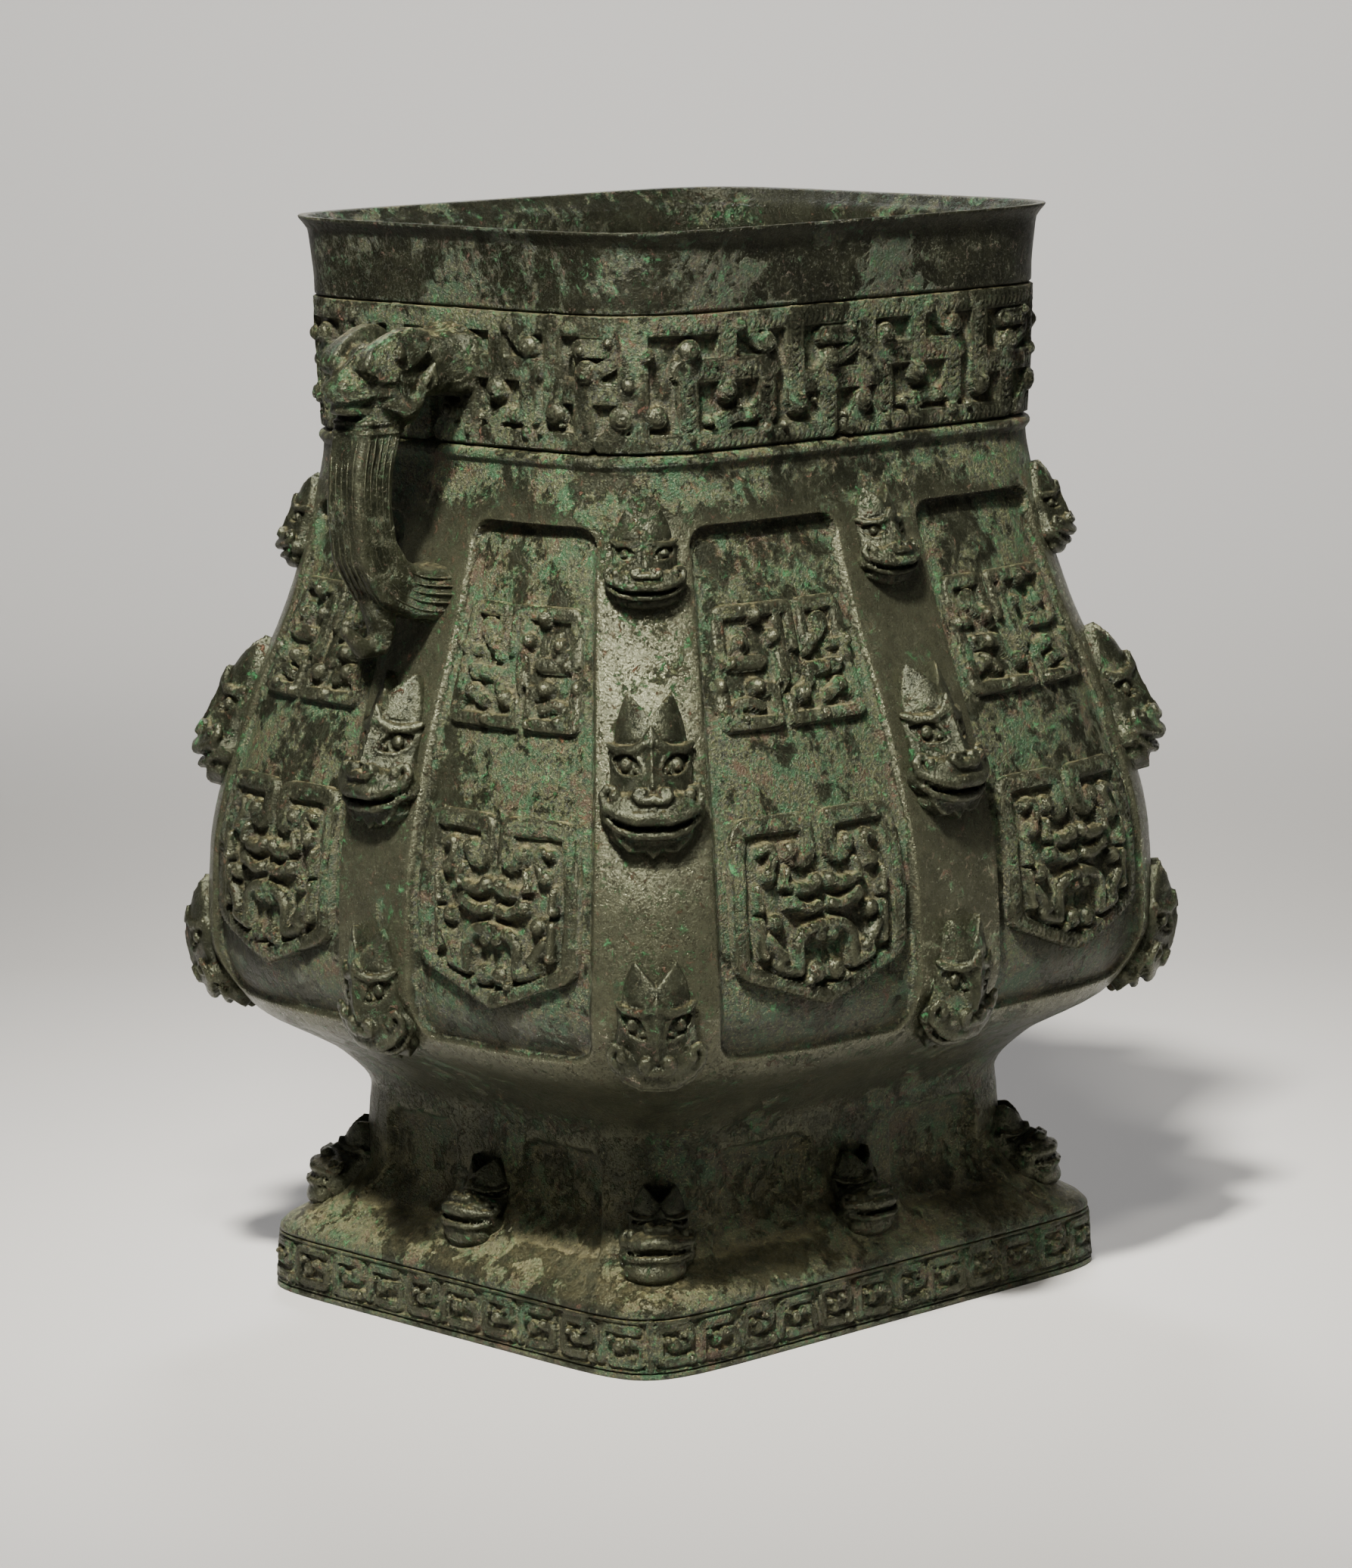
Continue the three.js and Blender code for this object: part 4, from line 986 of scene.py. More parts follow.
def mask_clay(p, pointed):
    """The right half is enough, for p holds distances from the middle line. The head is a wedge."""
    u, v, w = p[..., 0], p[..., 1], p[..., 2]

    def profile(at):
        return np.interp(at, (-9, -2, 6, 12, 17.2, 27), (13.0, 12.0, 10.6, 9.8, 9.0, 7.0))

    def on(x, y, up=0.0):
        return x, y, float(profile(y)) - 0.42 * x - 0.02 * x * x + up

    slope = profile(v) - 0.42 * u - 0.02 * u * u
    face = np.maximum.reduce([(w - slope) * 0.88, u - np.interp(v, (-6, 0, 9, 11), (15.0, 14.0, 14.4, 12.8)),
                              v - 11, -9 - v])
    muzzle = ball(p, (0, -11.8, 0.5), (18.2, 8.4, 12.8))
    head = press(face, muzzle, 1.2)
    dome = slope + 0.9 - 0.035 * (u - 6.4) ** 2
    outer = u - 12.6 + 0.0158 * np.maximum(v - 9, 0) ** 2
    ear = np.maximum.reduce([(w - dome) * 0.9, outer, (v - 17.0) * 0.603 - u * 0.798,
                             (9.6 + 0.1 * u - v) * 0.99])
    head = press(head, ear, 0.3)
    head = press(head, roll(p, [on(1.6, 8.6, 0.5), on(6.4, 6.7, 0.3), on(11, 7.7, 0.4), on(14.2, 10.2, 1.0)],
                            (1.7, 1.9, 1.7, 1.2)), 0.9)
    s = (u - 8.2) * 0.829 + (v - 2.6) * 0.559
    t = (v - 2.6) * 0.829 - (u - 8.2) * 0.559
    almond = np.maximum((np.abs(t) - 3.0 * (1 - (s / 5.7) ** 2)) * 0.85, np.abs(s) - 5.8)
    head = press(head, np.maximum(np.abs(almond - 0.3) - 0.75, face - 0.55), 0.3)
    head = carve(head, np.maximum(almond, -face - 1.5), 0.3)
    head = press(head, ball(p, on(8.5, 3.0, -0.8), (2.4, 2.3, 1.9)), 0.1)
    head = press(head, ball(p, on(5.2, 0.7, -0.8), (1.5, 1.0, 1.2)), 0.1)
    nose = np.maximum.reduce([(w - profile(v) - 1.3 + 0.95 * u) * 0.72, v - 9, -6.5 - v, u - 3])
    head = press(head, nose, 0.3)
    lozenge = np.maximum((u / 2.6 + np.abs(v - 10.4) / 3.9 - 1) * 2.1, (w - profile(v) - 2.1 + 0.5 * u) * 0.9)
    head = press(head, lozenge, 0.2)
    head = press(head, ball(p, (4.0, -8.2, 11.6), (3.4, 2.7, 2.4)), 0.4)
    curl = [(0, -9.9, 13.6), (2.2, -10.5, 13.7), (4.7, -10.1, 13.4), (6.0, -8.3, 13.0), (5.2, -6.7, 13.0),
            (3.5, -6.5, 13.2),
            (3.0, -7.8, 13.6), (4.0, -8.4, 13.6)]
    head = press(head, roll(p, curl, (1.7, 1.5, 1.4, 1.35, 1.2, 1.0, 0.9, 0.9)), 0.15)
    lip = roll(p, [(0, -15.6, 12.2), (6, -15.6, 11.4), (12, -13.6, 8.8), (16.2, -10.6, 5.8),
                   (17.0, -7.0, 4.9),
                   (15.4, -4.6, 5.6), (13.0, -5.2, 6.8)], (2.5, 2.5, 2.2, 1.9, 1.7, 1.5, 1.3))
    head = press(head, lip, 0.8)
    head = press(head, ball(p, (12.8, -7.6, 7.9), 2.2), 0.2)
    head = carve(head, roll(p, [(0, -14.6, 15.2), (6, -14.6, 14.4), (11.6, -12.8, 11.6), (14.6, -10.6, 9.0)],
                            0.5), 0.3)
    jaw = press(ball(p, (0, -19.0, 0.5), (15.0, 6.0, 7.0)),
                roll(p, [(0, -20.8, 8.8), (6, -20.4, 8.4), (11.5, -18.2, 6.6), (15.2, -14.8, 4.4)], 1.7), 1.2)
    if pointed:
        beard = np.maximum((np.interp(u, (0, 3.2, 5.2, 8.6, 12.5, 15.5),
                                      (-27.6, -24.6, -25.6, -25.2, -21.5, -15)) - v) * 0.75,
                           w - 5.2 - 0.16 * (v + 24))
        jaw = press(jaw, np.maximum(np.maximum(beard, v + 18), -5 - w), 0.8)
    else:
        jaw = press(jaw, ball(p, (0, -21.0, 2.5), (11.5, 5.0, 4.6)), 1.5)
    head = press(head, jaw, 0.3)
    for back in (0, 2.2, 4.4, 6.6):
        head = carve(head, roll(p, [(0, -18.9, 15.4 - back), (6, -18.9, 14.6 - back),
                                    (11.4, -17.0, 12.0 - back),
                                    (15.8, -13.4, 8.6 - back)], (0.95, 0.95, 0.9, 0.7)), 0.2)
    return head


def mask_net(size, pitch):
    width, height, proud, _, pointed, _ = size
    k = np.array([35 / width, 55 / height, 15 / proud])
    low = np.array([-width / 2 - 3, -height / 2 - 3, -5.0])
    p = clay_grid(low, (width / 2 + 3, height / 2 + 4, proud + 3), pitch)
    q = p * k
    q[..., 0] = np.abs(q[..., 0])
    field = np.maximum(mask_clay(q, pointed), -4.6 - p[..., 2])
    return net_round(field, low, pitch)


mask_pieces = []
for name, size in MASKS.items():
    nets = [mask_net(size, size[5] * coarser) for coarser in (1, 1.4, 2)]
    points, quads, start = [], [], 0
    for anchor in range(8):
        if name == "upper" and anchor % 4 == 0:
            continue
        p, q = nets[(2, 2, 2, 1, 0, 0, 0, 1)[anchor]]
        centre = size[3]
        probe = wall_at(anchor, np.array([-0.5, 0.5]), centre)
        across = (probe[1] - probe[0]) / np.linalg.norm(probe[1] - probe[0])
        z = centre + p[:, 1]
        seat, out = wall_at(anchor, 0.0, z), wall_at(anchor, 0.0, z, 1.0)
        world = seat + (out - seat) * p[:, 2:3] + across * p[:, 0:1]
        world += (out - seat) * (noise(world, 3.0, 80, 2) * 0.10)[:, None]
        keep = ~np.all(depth_in_wall(world)[q] > 1.1, 1)
        points.append(world)
        quads.append(start + q[keep])
        start += len(world)
    mask_pieces.append(make_piece("masks_" + name, np.concatenate(points), np.concatenate(quads), None, None,
                                  7, 0.6))
print("masks", len(mask_pieces), "sizes")

# %% [markdown]
# Each handle is a ribbed strap that leaves the neck through a beast's head and comes back to the
# shoulder, with a short tail below. It was cast on as its own pour, so crust gathers where it
# meets the wall. The ribs follow the bend, which leads the eye and gives the hand a grip.

# %% Two beast-headed handles
LOOP = [(109, 352.5), (121, 352.5), (134, 350), (144.5, 343), (150.5, 331), (154.4, 317), (155.2, 303),
        (153.2, 288),
        (146, 277), (134, 271.5), (121, 270.5), (113, 270.5)]
LOOP_HALF = [(16, 11.5), (12.5, 10.8), (10, 10.2), (9.2, 9.4), (9, 9), (9, 8.6), (9, 8.5), (9, 9), (9, 9.2),
             (9, 8.8),
             (9.4, 8.6), (11.5, 9.6)]


def strap_clay(p):
    best = np.full(p.shape[:-1], 1e9)
    out = np.zeros_like(best)
    half_w, half_t = np.zeros_like(best), np.zeros_like(best)
    for (a, b, ha, hb) in zip(LOOP[:-1], LOOP[1:], LOOP_HALF[:-1], LOOP_HALF[1:]):
        dr, dz = b[0] - a[0], b[1] - a[1]
        length = math.hypot(dr, dz)
        r, z = p[..., 0] - a[0], p[..., 2] - a[1]
        t = np.clip((r * dr + z * dz) / length ** 2, 0, 1)
        d = np.hypot(r - t * dr, z - t * dz)
        side = np.sign(dr * z - dz * r)
        closer = d < best
        best = np.where(closer, d, best)
        out = np.where(closer, d * side, out)
        half_w = np.where(closer, mix(ha[0], hb[0], t), half_w)
        half_t = np.where(closer, mix(ha[1], hb[1], t), half_t)
    y = np.abs(p[..., 1])
    corner = mix(2.6, 8.0, smooth(336, 346, p[..., 2]))
    qy, qo = y - half_w + corner, np.abs(out) - half_t + corner
    return np.hypot(np.maximum(qy, 0), np.maximum(qo, 0)) + np.minimum(np.maximum(qy, qo), 0) - corner


def handle_clay(p):
    """In the plane of the loop: x is the reach from the vessel's middle, y across, z up."""
    q = p.copy()
    q[..., 1] = np.abs(q[..., 1])
    clay = strap_clay(p)
    clay = press(clay, ball(p, (112, 0, 352.5), (7, 17, 13.5)), 3)
    clay = press(clay, ball(p, (124, 0, 270.5), (8, 13, 11)), 3)
    clay = press(clay, ball(q, (143, 0, 349.5), (13.5, 13.2, 10.5)), 3)
    clay = press(clay, roll(q, [(149, 3.0, 350), (160.0, 2.0, 344.4)], (10.0, 6.4)), 2.5)
    clay = press(clay, roll(q, [(150, 6.5, 345), (143, 7.5, 338.5), (138, 6, 337)], (7.0, 5.4, 5.0)), 3)
    s = (145.5 - p[..., 0]) * 0.94 + (p[..., 2] - 358.6) * 0.342
    t = (p[..., 2] - 358.6) * 0.94 - (145.5 - p[..., 0]) * 0.342
    petal = (np.sqrt((s / mix(17.0, 12.5, s > 0)) ** 2 + (t / mix(7.2, 6.6, t > 0)) ** 2 + 1e-9) - 1) * 6.4
    side = q[..., 1] - 10.2 - 0.10 * s
    horn = np.maximum(petal, np.abs(side) - 4.2 + 0.05 * np.maximum(t, 0) ** 2)
    horn = carve(horn, np.maximum(np.abs(petal + 2.1) - 0.3, 3.9 - side), 0.2)
    clay = press(clay, horn, 0.6)
    clay = carve(clay, hoop(q, (147.5, 14.4, 357.2), (0, 1, 0), 3.9, 0.75), 0.2)
    clay = press(clay, ball(q, (147.5, 13.9, 357.2), (3.0, 2.2, 2.4)), 0.2)
    for x in (153.2, 155.4, 157.6):
        clay = carve(clay, roll(q, [(x, 13.4, 350.5 + (160 - x) * 0.3), (x - 1.2, 13.6, 357.5)], 0.4), 0.3)
    clay = press(clay, ball(q, (151.0, 11.6, 349.4), (5.4, 3.4, 3.0)), 0.3)
    clay = press(clay, ball(q, (150.8, 13.4, 349.6), (1.7, 1.6, 1.5)), 0.1)
    clay = press(clay, roll(q, [(144.5, 12.6, 350.2), (150, 13.2, 352.4), (156, 10.6, 349.6)], 0.8), 0.3)
    clay = press(clay, roll(q, [(152, 0, 359.5), (163.0, 0, 349)], (1.5, 1.8)), 1.2)
    clay = press(clay, ball(q, (164.0, 3.6, 345.4), (2.9, 3.2, 3.0)), 0.8)
    clay = carve(clay, roll(q, [(150, 13.4, 341.6), (158, 10.4, 340.8), (164.4, 5.2, 340.6), (168, 0, 340.8)],
                            1.3), 0.5)
    clay = press(clay, roll(q, [(151.5, 11.9, 346.2), (158.5, 9.0, 343.4), (164.0, 5.0, 342.2),
                                (165.6, 0, 342.2)],
                            (0.8, 1.4, 1.4, 1.4)), 0.5)
    clay = press(clay, roll(q, [(157, 7.6, 337.8), (162.2, 4.0, 338.0), (163.6, 0, 338.2)], (1.4, 1.7, 1.7)),
                 0.8)
    clay = press(clay, roll(q, [(150, 11.0, 339.8), (144, 12.2, 337.0), (137.5, 11.2, 339.2),
                                (134.5, 10, 343)],
                            (1.8, 2.4, 2.4, 2.0)), 2.0)
    ear = roll(q, [(135.0, 11.0, 343.0), (133.5, 13.2, 347.5), (131.5, 14.2, 353.0)], (2.4, 3.6, 0.9))
    ear = carve(ear, roll(q, [(134.6, 15.2, 345.0), (133.6, 17.2, 347.8), (132.3, 16.4, 351.4)],
                          (0.9, 1.7, 0.6)), 0.3)
    clay = press(clay, ear, 0.6)
    for z in (333.6, 330.0):
        clay = press(clay, np.maximum(np.abs(p[..., 2] - z) - 0.7, strap_clay(p) - 0.8), 0.3)
    clay = press(clay, roll(p, [(148, 0, 270), (146, 0, 260), (147.5, 0, 254.5), (155, 0, 253.5),
                                (162.5, 0, 260.5)],
                            (6.4, 5.0, 4.2, 3.4, 2.3)), 1.6)
    rough = noise(p.reshape(-1, 3), 3.0, 91, 2).reshape(p.shape[:-1])
    at_root = 1 - smooth(112, 130, p[..., 0])
    return clay + rough * mix(0.12, 0.75, at_root)


def thread(path, radius):
    """A thin raised line along points in mm, four sided."""
    way = np.gradient(path, axis=0)
    way /= np.linalg.norm(way, axis=1, keepdims=True)
    side = np.cross(way, (0.3, 0.8, 0.52))
    side /= np.linalg.norm(side, axis=1, keepdims=True)
    up = np.cross(way, side)
    turn = np.linspace(0, 2 * math.pi, 4, endpoint=False)
    rings = [path + radius * (side * math.cos(a) + up * math.sin(a)) for a in turn]
    return np.stack(rings, 1).reshape(-1, 3), grid_quads(len(path), 4, closed=True)


def strap_threads():
    """Lines laid on both sides and on the outer face of the strap, drawn down onto its skin."""
    bend = np.array(LOOP, float)
    gone = np.r_[0, np.cumsum(np.hypot(*np.diff(bend, axis=0).T))]
    s = np.arange(gone[2] + 14, gone[-1] - 7, 1.9)
    soft = [np.mean([np.interp(s + d, gone, bend[:, c]) for d in (-5, -2.5, 0, 2.5, 5)], 0) for c in (0, 1)]
    line = np.stack(soft, 1)
    way = np.gradient(line, axis=0)
    way /= np.linalg.norm(way, axis=1, keepdims=True)
    out = np.stack([-way[:, 1], way[:, 0]], 1)
    found = []
    for along in np.arange(-5.6, 6.0, 2.8):
        for hand in (-1, 1):
            found.append((np.stack([line[:, 0] + out[:, 0] * along, np.full(len(s), hand * 9.5),
                                    line[:, 1] + out[:, 1] * along], 1),
                          np.tile((0.0, hand, 0.0), (len(s), 1))))
    for across in np.arange(-6.0, 6.5, 3.0):
        found.append((np.stack([line[:, 0] + out[:, 0] * 9.5, np.full(len(s), across),
                                line[:, 1] + out[:, 1] * 9.5], 1),
                      np.stack([out[:, 0], np.zeros(len(s)), out[:, 1]], 1)))
    threads = []
    for path, face in found:
        for _ in range(3):
            path = path - face * handle_clay(path)[:, None]
        cut = path[:, 2] < 329
        path = path[cut] + (0.35 * noise(path[cut], 7.0, 33) - 0.08)[:, None] * face[cut]
        threads.append(thread(path + 0.7 * noise(path, 13.0, 61)[:, None], 0.46))
    return threads


handle_pieces = []
for name, turn, pitch in (("handle_left_bronze", -1, 0.8), ("handle_right_bronze", 1, 1.2)):
    low = np.array([108.5, -21.0, 246.0])
    p = clay_grid(low, (171, 21, 373), pitch)
    points, quads = net_round(np.maximum(handle_clay(p), 108.9 - p[..., 0]), low, pitch)
    all_points, all_quads = [points], [quads]
    for path, faces in strap_threads():
        all_quads.append(faces + sum(len(v) for v in all_points))
        all_points.append(path)
    points, quads = np.concatenate(all_points), np.concatenate(all_quads)
    points[:, :2] *= turn
    keep = ~np.all(depth_in_wall(points)[quads] > 2.0, 1)
    handle_pieces.append(make_piece(name, points, quads[keep], None, None, 7, 0.55))
print("handles", len(handle_pieces))

# %% [markdown]
# One metal, many skins. Clean bronze shows dark brown grey on rubbed straps and noses. Over it
# lie thin green malachite films, brighter green spots, red-brown cuprite, and tan earth packed in
# the hollows. The films are mixed by noise at their real sizes in millimetres, and by the
# hollows and worn edges stored on the mesh, with hard borders where a crust has flaked. The
# hollows are also darkened towards near-black as painted shade.

# %% The bronze and its patina
def linear(hex_colour):
    parts = [int(hex_colour[i:i + 2], 16) / 255 for i in (1, 3, 5)]
    return tuple(c / 12.92 if c <= 0.04045 else ((c + 0.055) / 1.055) ** 2.4 for c in parts) + (1.0,)


class Skin:
    """Adds nodes to one material, each with its settings and links in one call."""

    def __init__(self, name):
        self.material = bpy.data.materials.new(name)
        self.material.use_nodes = True
        self.tree = self.material.node_tree
        self.shader = self.tree.nodes["Principled BSDF"]

    def add(self, kind, sockets=None, **settings):
        node = self.tree.nodes.new(kind)
        for key, value in settings.items():
            setattr(node, key, value)
        for key, value in (sockets or {}).items():
            self.put(node.inputs[key], value)
        return node

    def put(self, socket, value):
        if isinstance(value, bpy.types.NodeSocket):
            self.tree.links.new(value, socket)
        else:
            socket.default_value = value

    def math(self, how, a, b=0.0, clamp=False):
        return self.add("ShaderNodeMath", {0: a, 1: b}, operation=how, use_clamp=clamp).outputs[0]

    def step(self, value, low, high, to_low=0.0, to_high=1.0):
        return self.add("ShaderNodeMapRange", {"Value": value, "From Min": low, "From Max": high,
                                               "To Min": to_low,
                                               "To Max": to_high}, interpolation_type="SMOOTHSTEP").outputs[0]

    def noise(self, where, size, detail=4.0, rough=0.6, warp=0.0):
        return self.add("ShaderNodeTexNoise", {"Vector": where, "Scale": 1 / size, "Detail": detail,
                                               "Roughness": rough,
                                               "Distortion": warp}).outputs["Fac"]

    def blend(self, amount, a, b):
        node = self.add("ShaderNodeMix", data_type="RGBA")
        self.put(node.inputs[0], amount)
        self.put(node.inputs[6], a)
        self.put(node.inputs[7], b)
        return node.outputs[2]


def patinated_bronze(name, shift, green, earth, gloss, lip_dark=0.0):
    s = Skin(name)
    place = s.add("ShaderNodeTexCoord").outputs["Object"]
    mm = s.add("ShaderNodeMapping", {"Vector": place, "Location": shift,
                                     "Scale": (1000, 1000, 1000)}).outputs[0]
    hollow = s.add("ShaderNodeAttribute", attribute_name="hollow").outputs["Fac"]
    worn = s.add("ShaderNodeAttribute", attribute_name="worn").outputs["Fac"]
    broad, middle = s.noise(mm, 38, 5, 0.62, 0.5), s.noise(mm, 9.0, 8, 0.75, 0.5)
    small, grain = s.noise(mm, 2.4, 5, 0.75), s.noise(mm, 0.85, 3, 0.7)
    metal = s.blend(s.step(middle, 0.36, 0.66), linear("#23251a"), linear("#424433"))
    metal = s.blend(s.math("MULTIPLY", worn, 0.5), metal, linear("#6f6f57"))
    cover = s.math("ADD", s.math("MULTIPLY", broad, 0.52), s.math("MULTIPLY", middle, 0.5))
    cover = s.math("ADD", cover, s.math("MULTIPLY", small, 0.20))
    cover = s.math("ADD", cover, s.math("MULTIPLY", hollow, 0.08))
    cover = s.math("SUBTRACT", cover, s.math("MULTIPLY", worn, 0.17))
    height = s.add("ShaderNodeSeparateXYZ", {0: mm}).outputs["Z"]
    collar = s.math("MULTIPLY", s.step(height, BAND_TOP, BAND_TOP + 4), lip_dark)
    cover = s.math("SUBTRACT", cover, s.math("MULTIPLY", collar, 0.055))
    film = s.step(cover, 0.585 - green, 0.635 - green)
    mottle = s.noise(mm, 1.5, 5, 0.78)
    olive = s.blend(s.step(mottle, 0.38, 0.62), linear("#15190d"), linear("#474b29"))
    leaf = s.blend(s.step(s.noise(mm, 11, 8, 0.8, 0.6), 0.47, 0.60), olive, linear("#1f4223"))
    leaf = s.blend(s.step(s.noise(mm, 13, 8, 0.8, 0.5), 0.53, 0.61), leaf, linear("#3e2d18"))
    colour = s.blend(s.math("MULTIPLY", film, 0.92), metal, leaf)
    bright = s.math("MULTIPLY", s.step(s.noise(mm, 4.0, 8, 0.8, 0.6), 0.56, 0.64), s.step(broad, 0.42, 0.56))
    colour = s.blend(s.math("MULTIPLY", bright, 0.75), colour, linear("#2f7a43"))
    red = s.step(s.noise(mm, 4.6, 8, 0.8, 0.9), 0.58, 0.65)
    colour = s.blend(s.math("MULTIPLY", red, 0.65), colour, linear("#663b24"))
    upward = s.add("ShaderNodeSeparateXYZ", {0: s.add("ShaderNodeNewGeometry").outputs["Normal"]}).outputs["Z"]
    dusty = s.math("ADD", s.math("MULTIPLY", hollow, 0.26), s.math("MULTIPLY", s.noise(mm, 12, 8, 0.8, 0.5),
                                                                   0.74))
    dusty = s.math("ADD", dusty, s.math("MULTIPLY", s.step(upward, 0.5, 0.95), 0.22))
    dust = s.step(s.math("ADD", dusty, s.math("MULTIPLY", small, 0.4)), 0.70 - earth, 0.98 - earth)
    tan = s.blend(s.step(small, 0.4, 0.62), linear("#534d2d"), linear("#857c52"))
    colour = s.blend(s.math("MULTIPLY", dust, 0.75), colour, tan)
    # Painted shade: the hollows are blended towards near-black, standing in for the shade in the recesses.
    colour = s.blend(s.math("MULTIPLY", hollow, 0.6), colour, linear("#15160c"))
    # Painted light: the flare above the foot is lightened towards pale tan, standing in for light that reaches
    # it under the belly.
    painted_foot_light = s.math("MULTIPLY", s.step(height, 42, 74, 1.0, 0.0),
                     s.step(height, FOOT_EDGE - 1, FOOT_EDGE + 3))
    painted_foot_light = s.math("MULTIPLY", painted_foot_light, s.step(s.noise(mm, 7, 7, 0.75), 0.40, 0.60, 0.05, 0.42))
    colour = s.blend(painted_foot_light, colour, linear("#6c6749"))
    skin = s.math("MAXIMUM", film, s.math("MAXIMUM", dust, s.math("MAXIMUM", bright, red)))
    # Pale tan specks on the grain's peaks: partly pale crust, partly a painted highlight on the crust's tops.
    speck_and_glint = s.math("MULTIPLY", s.step(grain, 0.56, 0.70), s.step(skin, 0, 1, 0.10, 0.45))
    colour = s.blend(speck_and_glint, colour, linear("#a19d73"))
    # The pits are darkened: partly dark corrosion in them, partly painted shade.
    pits = s.step(s.noise(mm, 1.3, 4, 0.8), 0.56, 0.66)
    colour = s.blend(s.math("MULTIPLY", pits, s.step(skin, 0, 1, 0.25, 0.7)), colour, linear("#14150d"))
    colour = s.blend(s.math("MULTIPLY", collar, 0.3), colour, linear("#1c1a11"))
    s.put(s.shader.inputs["Base Color"], colour)
    s.put(s.shader.inputs["Metallic"], s.step(skin, 0, 1, 0.75, 0.1))
    rough = s.math("ADD", s.step(skin, 0, 1, gloss, 0.48), s.math("MULTIPLY", s.math("SUBTRACT", small, 0.5),
                                                                  0.4))
    s.put(s.shader.inputs["Roughness"], s.math("SUBTRACT", rough, s.math("MULTIPLY", worn, 0.14), True))
    relief = s.math("MULTIPLY", grain, s.step(skin, 0, 1, 0.35, 1.0))
    relief = s.math("ADD", relief, s.math("MULTIPLY", small, s.step(skin, 0, 1, 0.15, 0.55)))
    relief = s.math("ADD", relief, s.math("MULTIPLY", film, 0.22))
    relief = s.math("SUBTRACT", relief, s.math("MULTIPLY", pits, 0.3))
    bump = s.add("ShaderNodeBump", {"Height": relief, "Distance": 0.0011, "Strength": 1.0})
    s.put(s.shader.inputs["Normal"], bump.outputs[0])
    return s.material


vessel_bronze = patinated_bronze("cast bronze with malachite and earth", (0, 0, 0), 0.02, 0.01, 0.38, 1.0)
mask_bronze = patinated_bronze("rubbed bronze of the masks", (90, 410, 30), -0.06, 0.02, 0.34)
handle_bronze = patinated_bronze("handled bronze, ribs rubbed dark", (310, 70, 190), -0.02, 0.0, 0.38)
for piece in [vessel_wall, neck_band, foot_band, square_plaques, shield_plaques] + mask_pieces:
    piece.data.materials.append(mask_bronze if piece in mask_pieces else vessel_bronze)
    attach(piece, "root")
    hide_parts("vessel")
for piece, node in zip(handle_pieces, ("handle_left", "handle_right")):
    piece.data.materials.append(handle_bronze)
    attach(piece, "root")
    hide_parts(node)
print("pieces", len(pieces))

# %% [markdown]
# The stage is plain: a pale floor that curves up into a pale backdrop. A narrow key light stands
# high on the left and in front, as a museum would light relief, so the masks throw their shadows
# down the straps and the panel edges show. A weaker, lower light puts a sheen on the front strap.
# Two weak fills, one behind the vessel and one on the backdrop keep the far sides readable.

# %% Floor, light and camera
AWAY = np.array([1.0, 1.0]) / math.sqrt(2)
SIDE = np.array([1.0, -1.0]) / math.sqrt(2)
bend = np.radians(np.linspace(0, 90, 13))
sweep = [(-5.0, 0.0)] + [(1.6 + 1.5 * math.sin(t), 1.5 * (1 - math.cos(t))) for t in bend] + [(3.1, 6.0)]
sheet = [(*(AWAY * far + SIDE * wide), up) for far, up in sweep for wide in (-7, 7)]
floor_mesh = bpy.data.meshes.new("floor")
floor_mesh.from_pydata(sheet, [], [(2 * i, 2 * i + 1, 2 * i + 3, 2 * i + 2) for i in range(len(sweep) - 1)])
floor_mesh.polygons.foreach_set("use_smooth", [True] * (len(sweep) - 1))
floor_object = bpy.data.objects.new("floor", floor_mesh)
bpy.context.scene.collection.objects.link(floor_object)
floor_skin = Skin("pale matt floor")
floor_skin.put(floor_skin.shader.inputs["Base Color"], linear("#b4b1ac"))
floor_skin.put(floor_skin.shader.inputs["Roughness"], 0.8)
floor_mesh.materials.append(floor_skin.material)

world = bpy.data.worlds.new("studio")
bpy.context.scene.world = world
world.use_nodes = True
world.node_tree.nodes["Background"].inputs["Color"].default_value = linear("#d6d8da")
world.node_tree.nodes["Background"].inputs["Strength"].default_value = 0.07


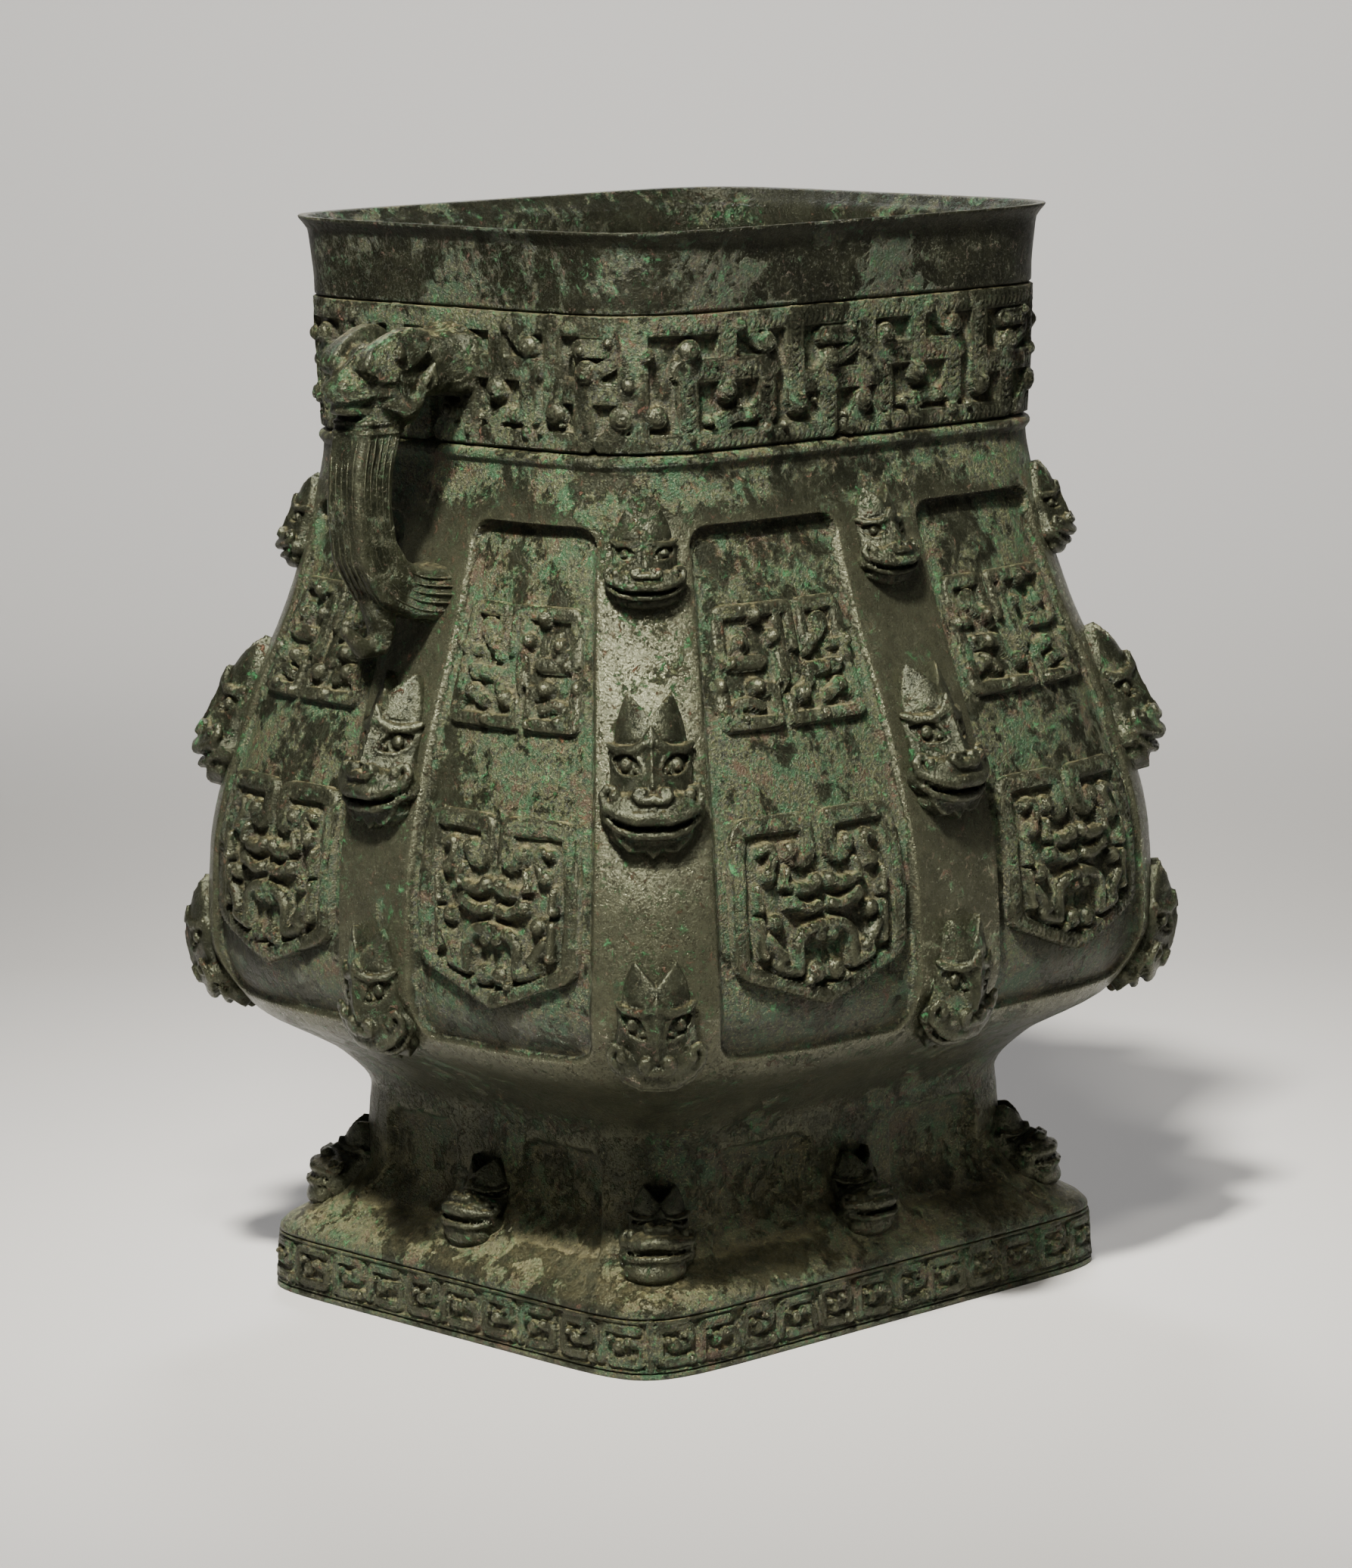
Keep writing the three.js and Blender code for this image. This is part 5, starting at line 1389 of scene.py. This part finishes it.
def aim(obj, place, target):
    obj.location = place
    way = np.asarray(target, float) - np.asarray(place, float)
    way /= np.linalg.norm(way)
    right = np.cross(way, (0, 0, 1))
    right /= np.linalg.norm(right)
    up = np.cross(right, way)
    return right, up, way


def set_axes(obj, right, up, way):
    obj.matrix_world = mathutils.Matrix([(right[0], up[0], -way[0], obj.location[0]),
                                         (right[1], up[1], -way[1], obj.location[1]),
                                         (right[2], up[2], -way[2], obj.location[2]), (0, 0, 0, 1)])


def soft_light(name, place, target, size, power, hex_colour, spread=180):
    lamp = bpy.data.lights.new(name, "AREA")
    lamp.size = size
    lamp.energy = power
    lamp.spread = math.radians(spread)
    lamp.color = linear(hex_colour)[:3]
    obj = bpy.data.objects.new(name, lamp)
    bpy.context.scene.collection.objects.link(obj)
    set_axes(obj, *aim(obj, place, target))


soft_light("key", (-0.99, -0.60, 1.86), (-0.02, -0.02, 0.24), 0.18, 9.8, "#fffdf8", 44)
soft_light("sheen", (-0.92, -0.88, 1.55), (0, 0, 0.26), 0.2, 1.2, "#fffdf8", 44)
soft_light("left fill", (-1.9, 0.4, 0.9), (0, 0, 0.2), 1.0, 2, "#eef3ff")
soft_light("right fill", (0.5, -1.9, 0.9), (0, 0, 0.2), 1.0, 2, "#f4f4ff")
soft_light("back fill", (1.2, 1.3, 1.9), (0, 0, 0.2), 0.5, 3.0, "#f6f8ff", 50)
soft_light("backdrop", (0.9, 0.9, 1.9), (2.9, 2.9, 0.9), 1.6, 100, "#ffffff")

EYE = np.array([-1407.8, -1444.2, 522.2]) * MM
LOOK = np.array([-1.26, 1.23, 186.31]) * MM
ROLL = math.radians(-0.6904)
LENS_MM, SENSOR_MM = 126.09, 36
lens = bpy.data.cameras.new("camera")
camera = bpy.data.objects.new("camera", lens)
bpy.context.scene.collection.objects.link(camera)
right, up, way = aim(camera, EYE, LOOK)
turned = right * math.cos(ROLL) + up * math.sin(ROLL)
set_axes(camera, turned, -right * math.sin(ROLL) + up * math.cos(ROLL), way)
lens.sensor_fit = "VERTICAL"
lens.sensor_height = SENSOR_MM
lens.lens = LENS_MM
lens.clip_start = 0.05
bpy.context.scene.camera = camera
print("camera", [round(float(v), 3) for v in EYE])
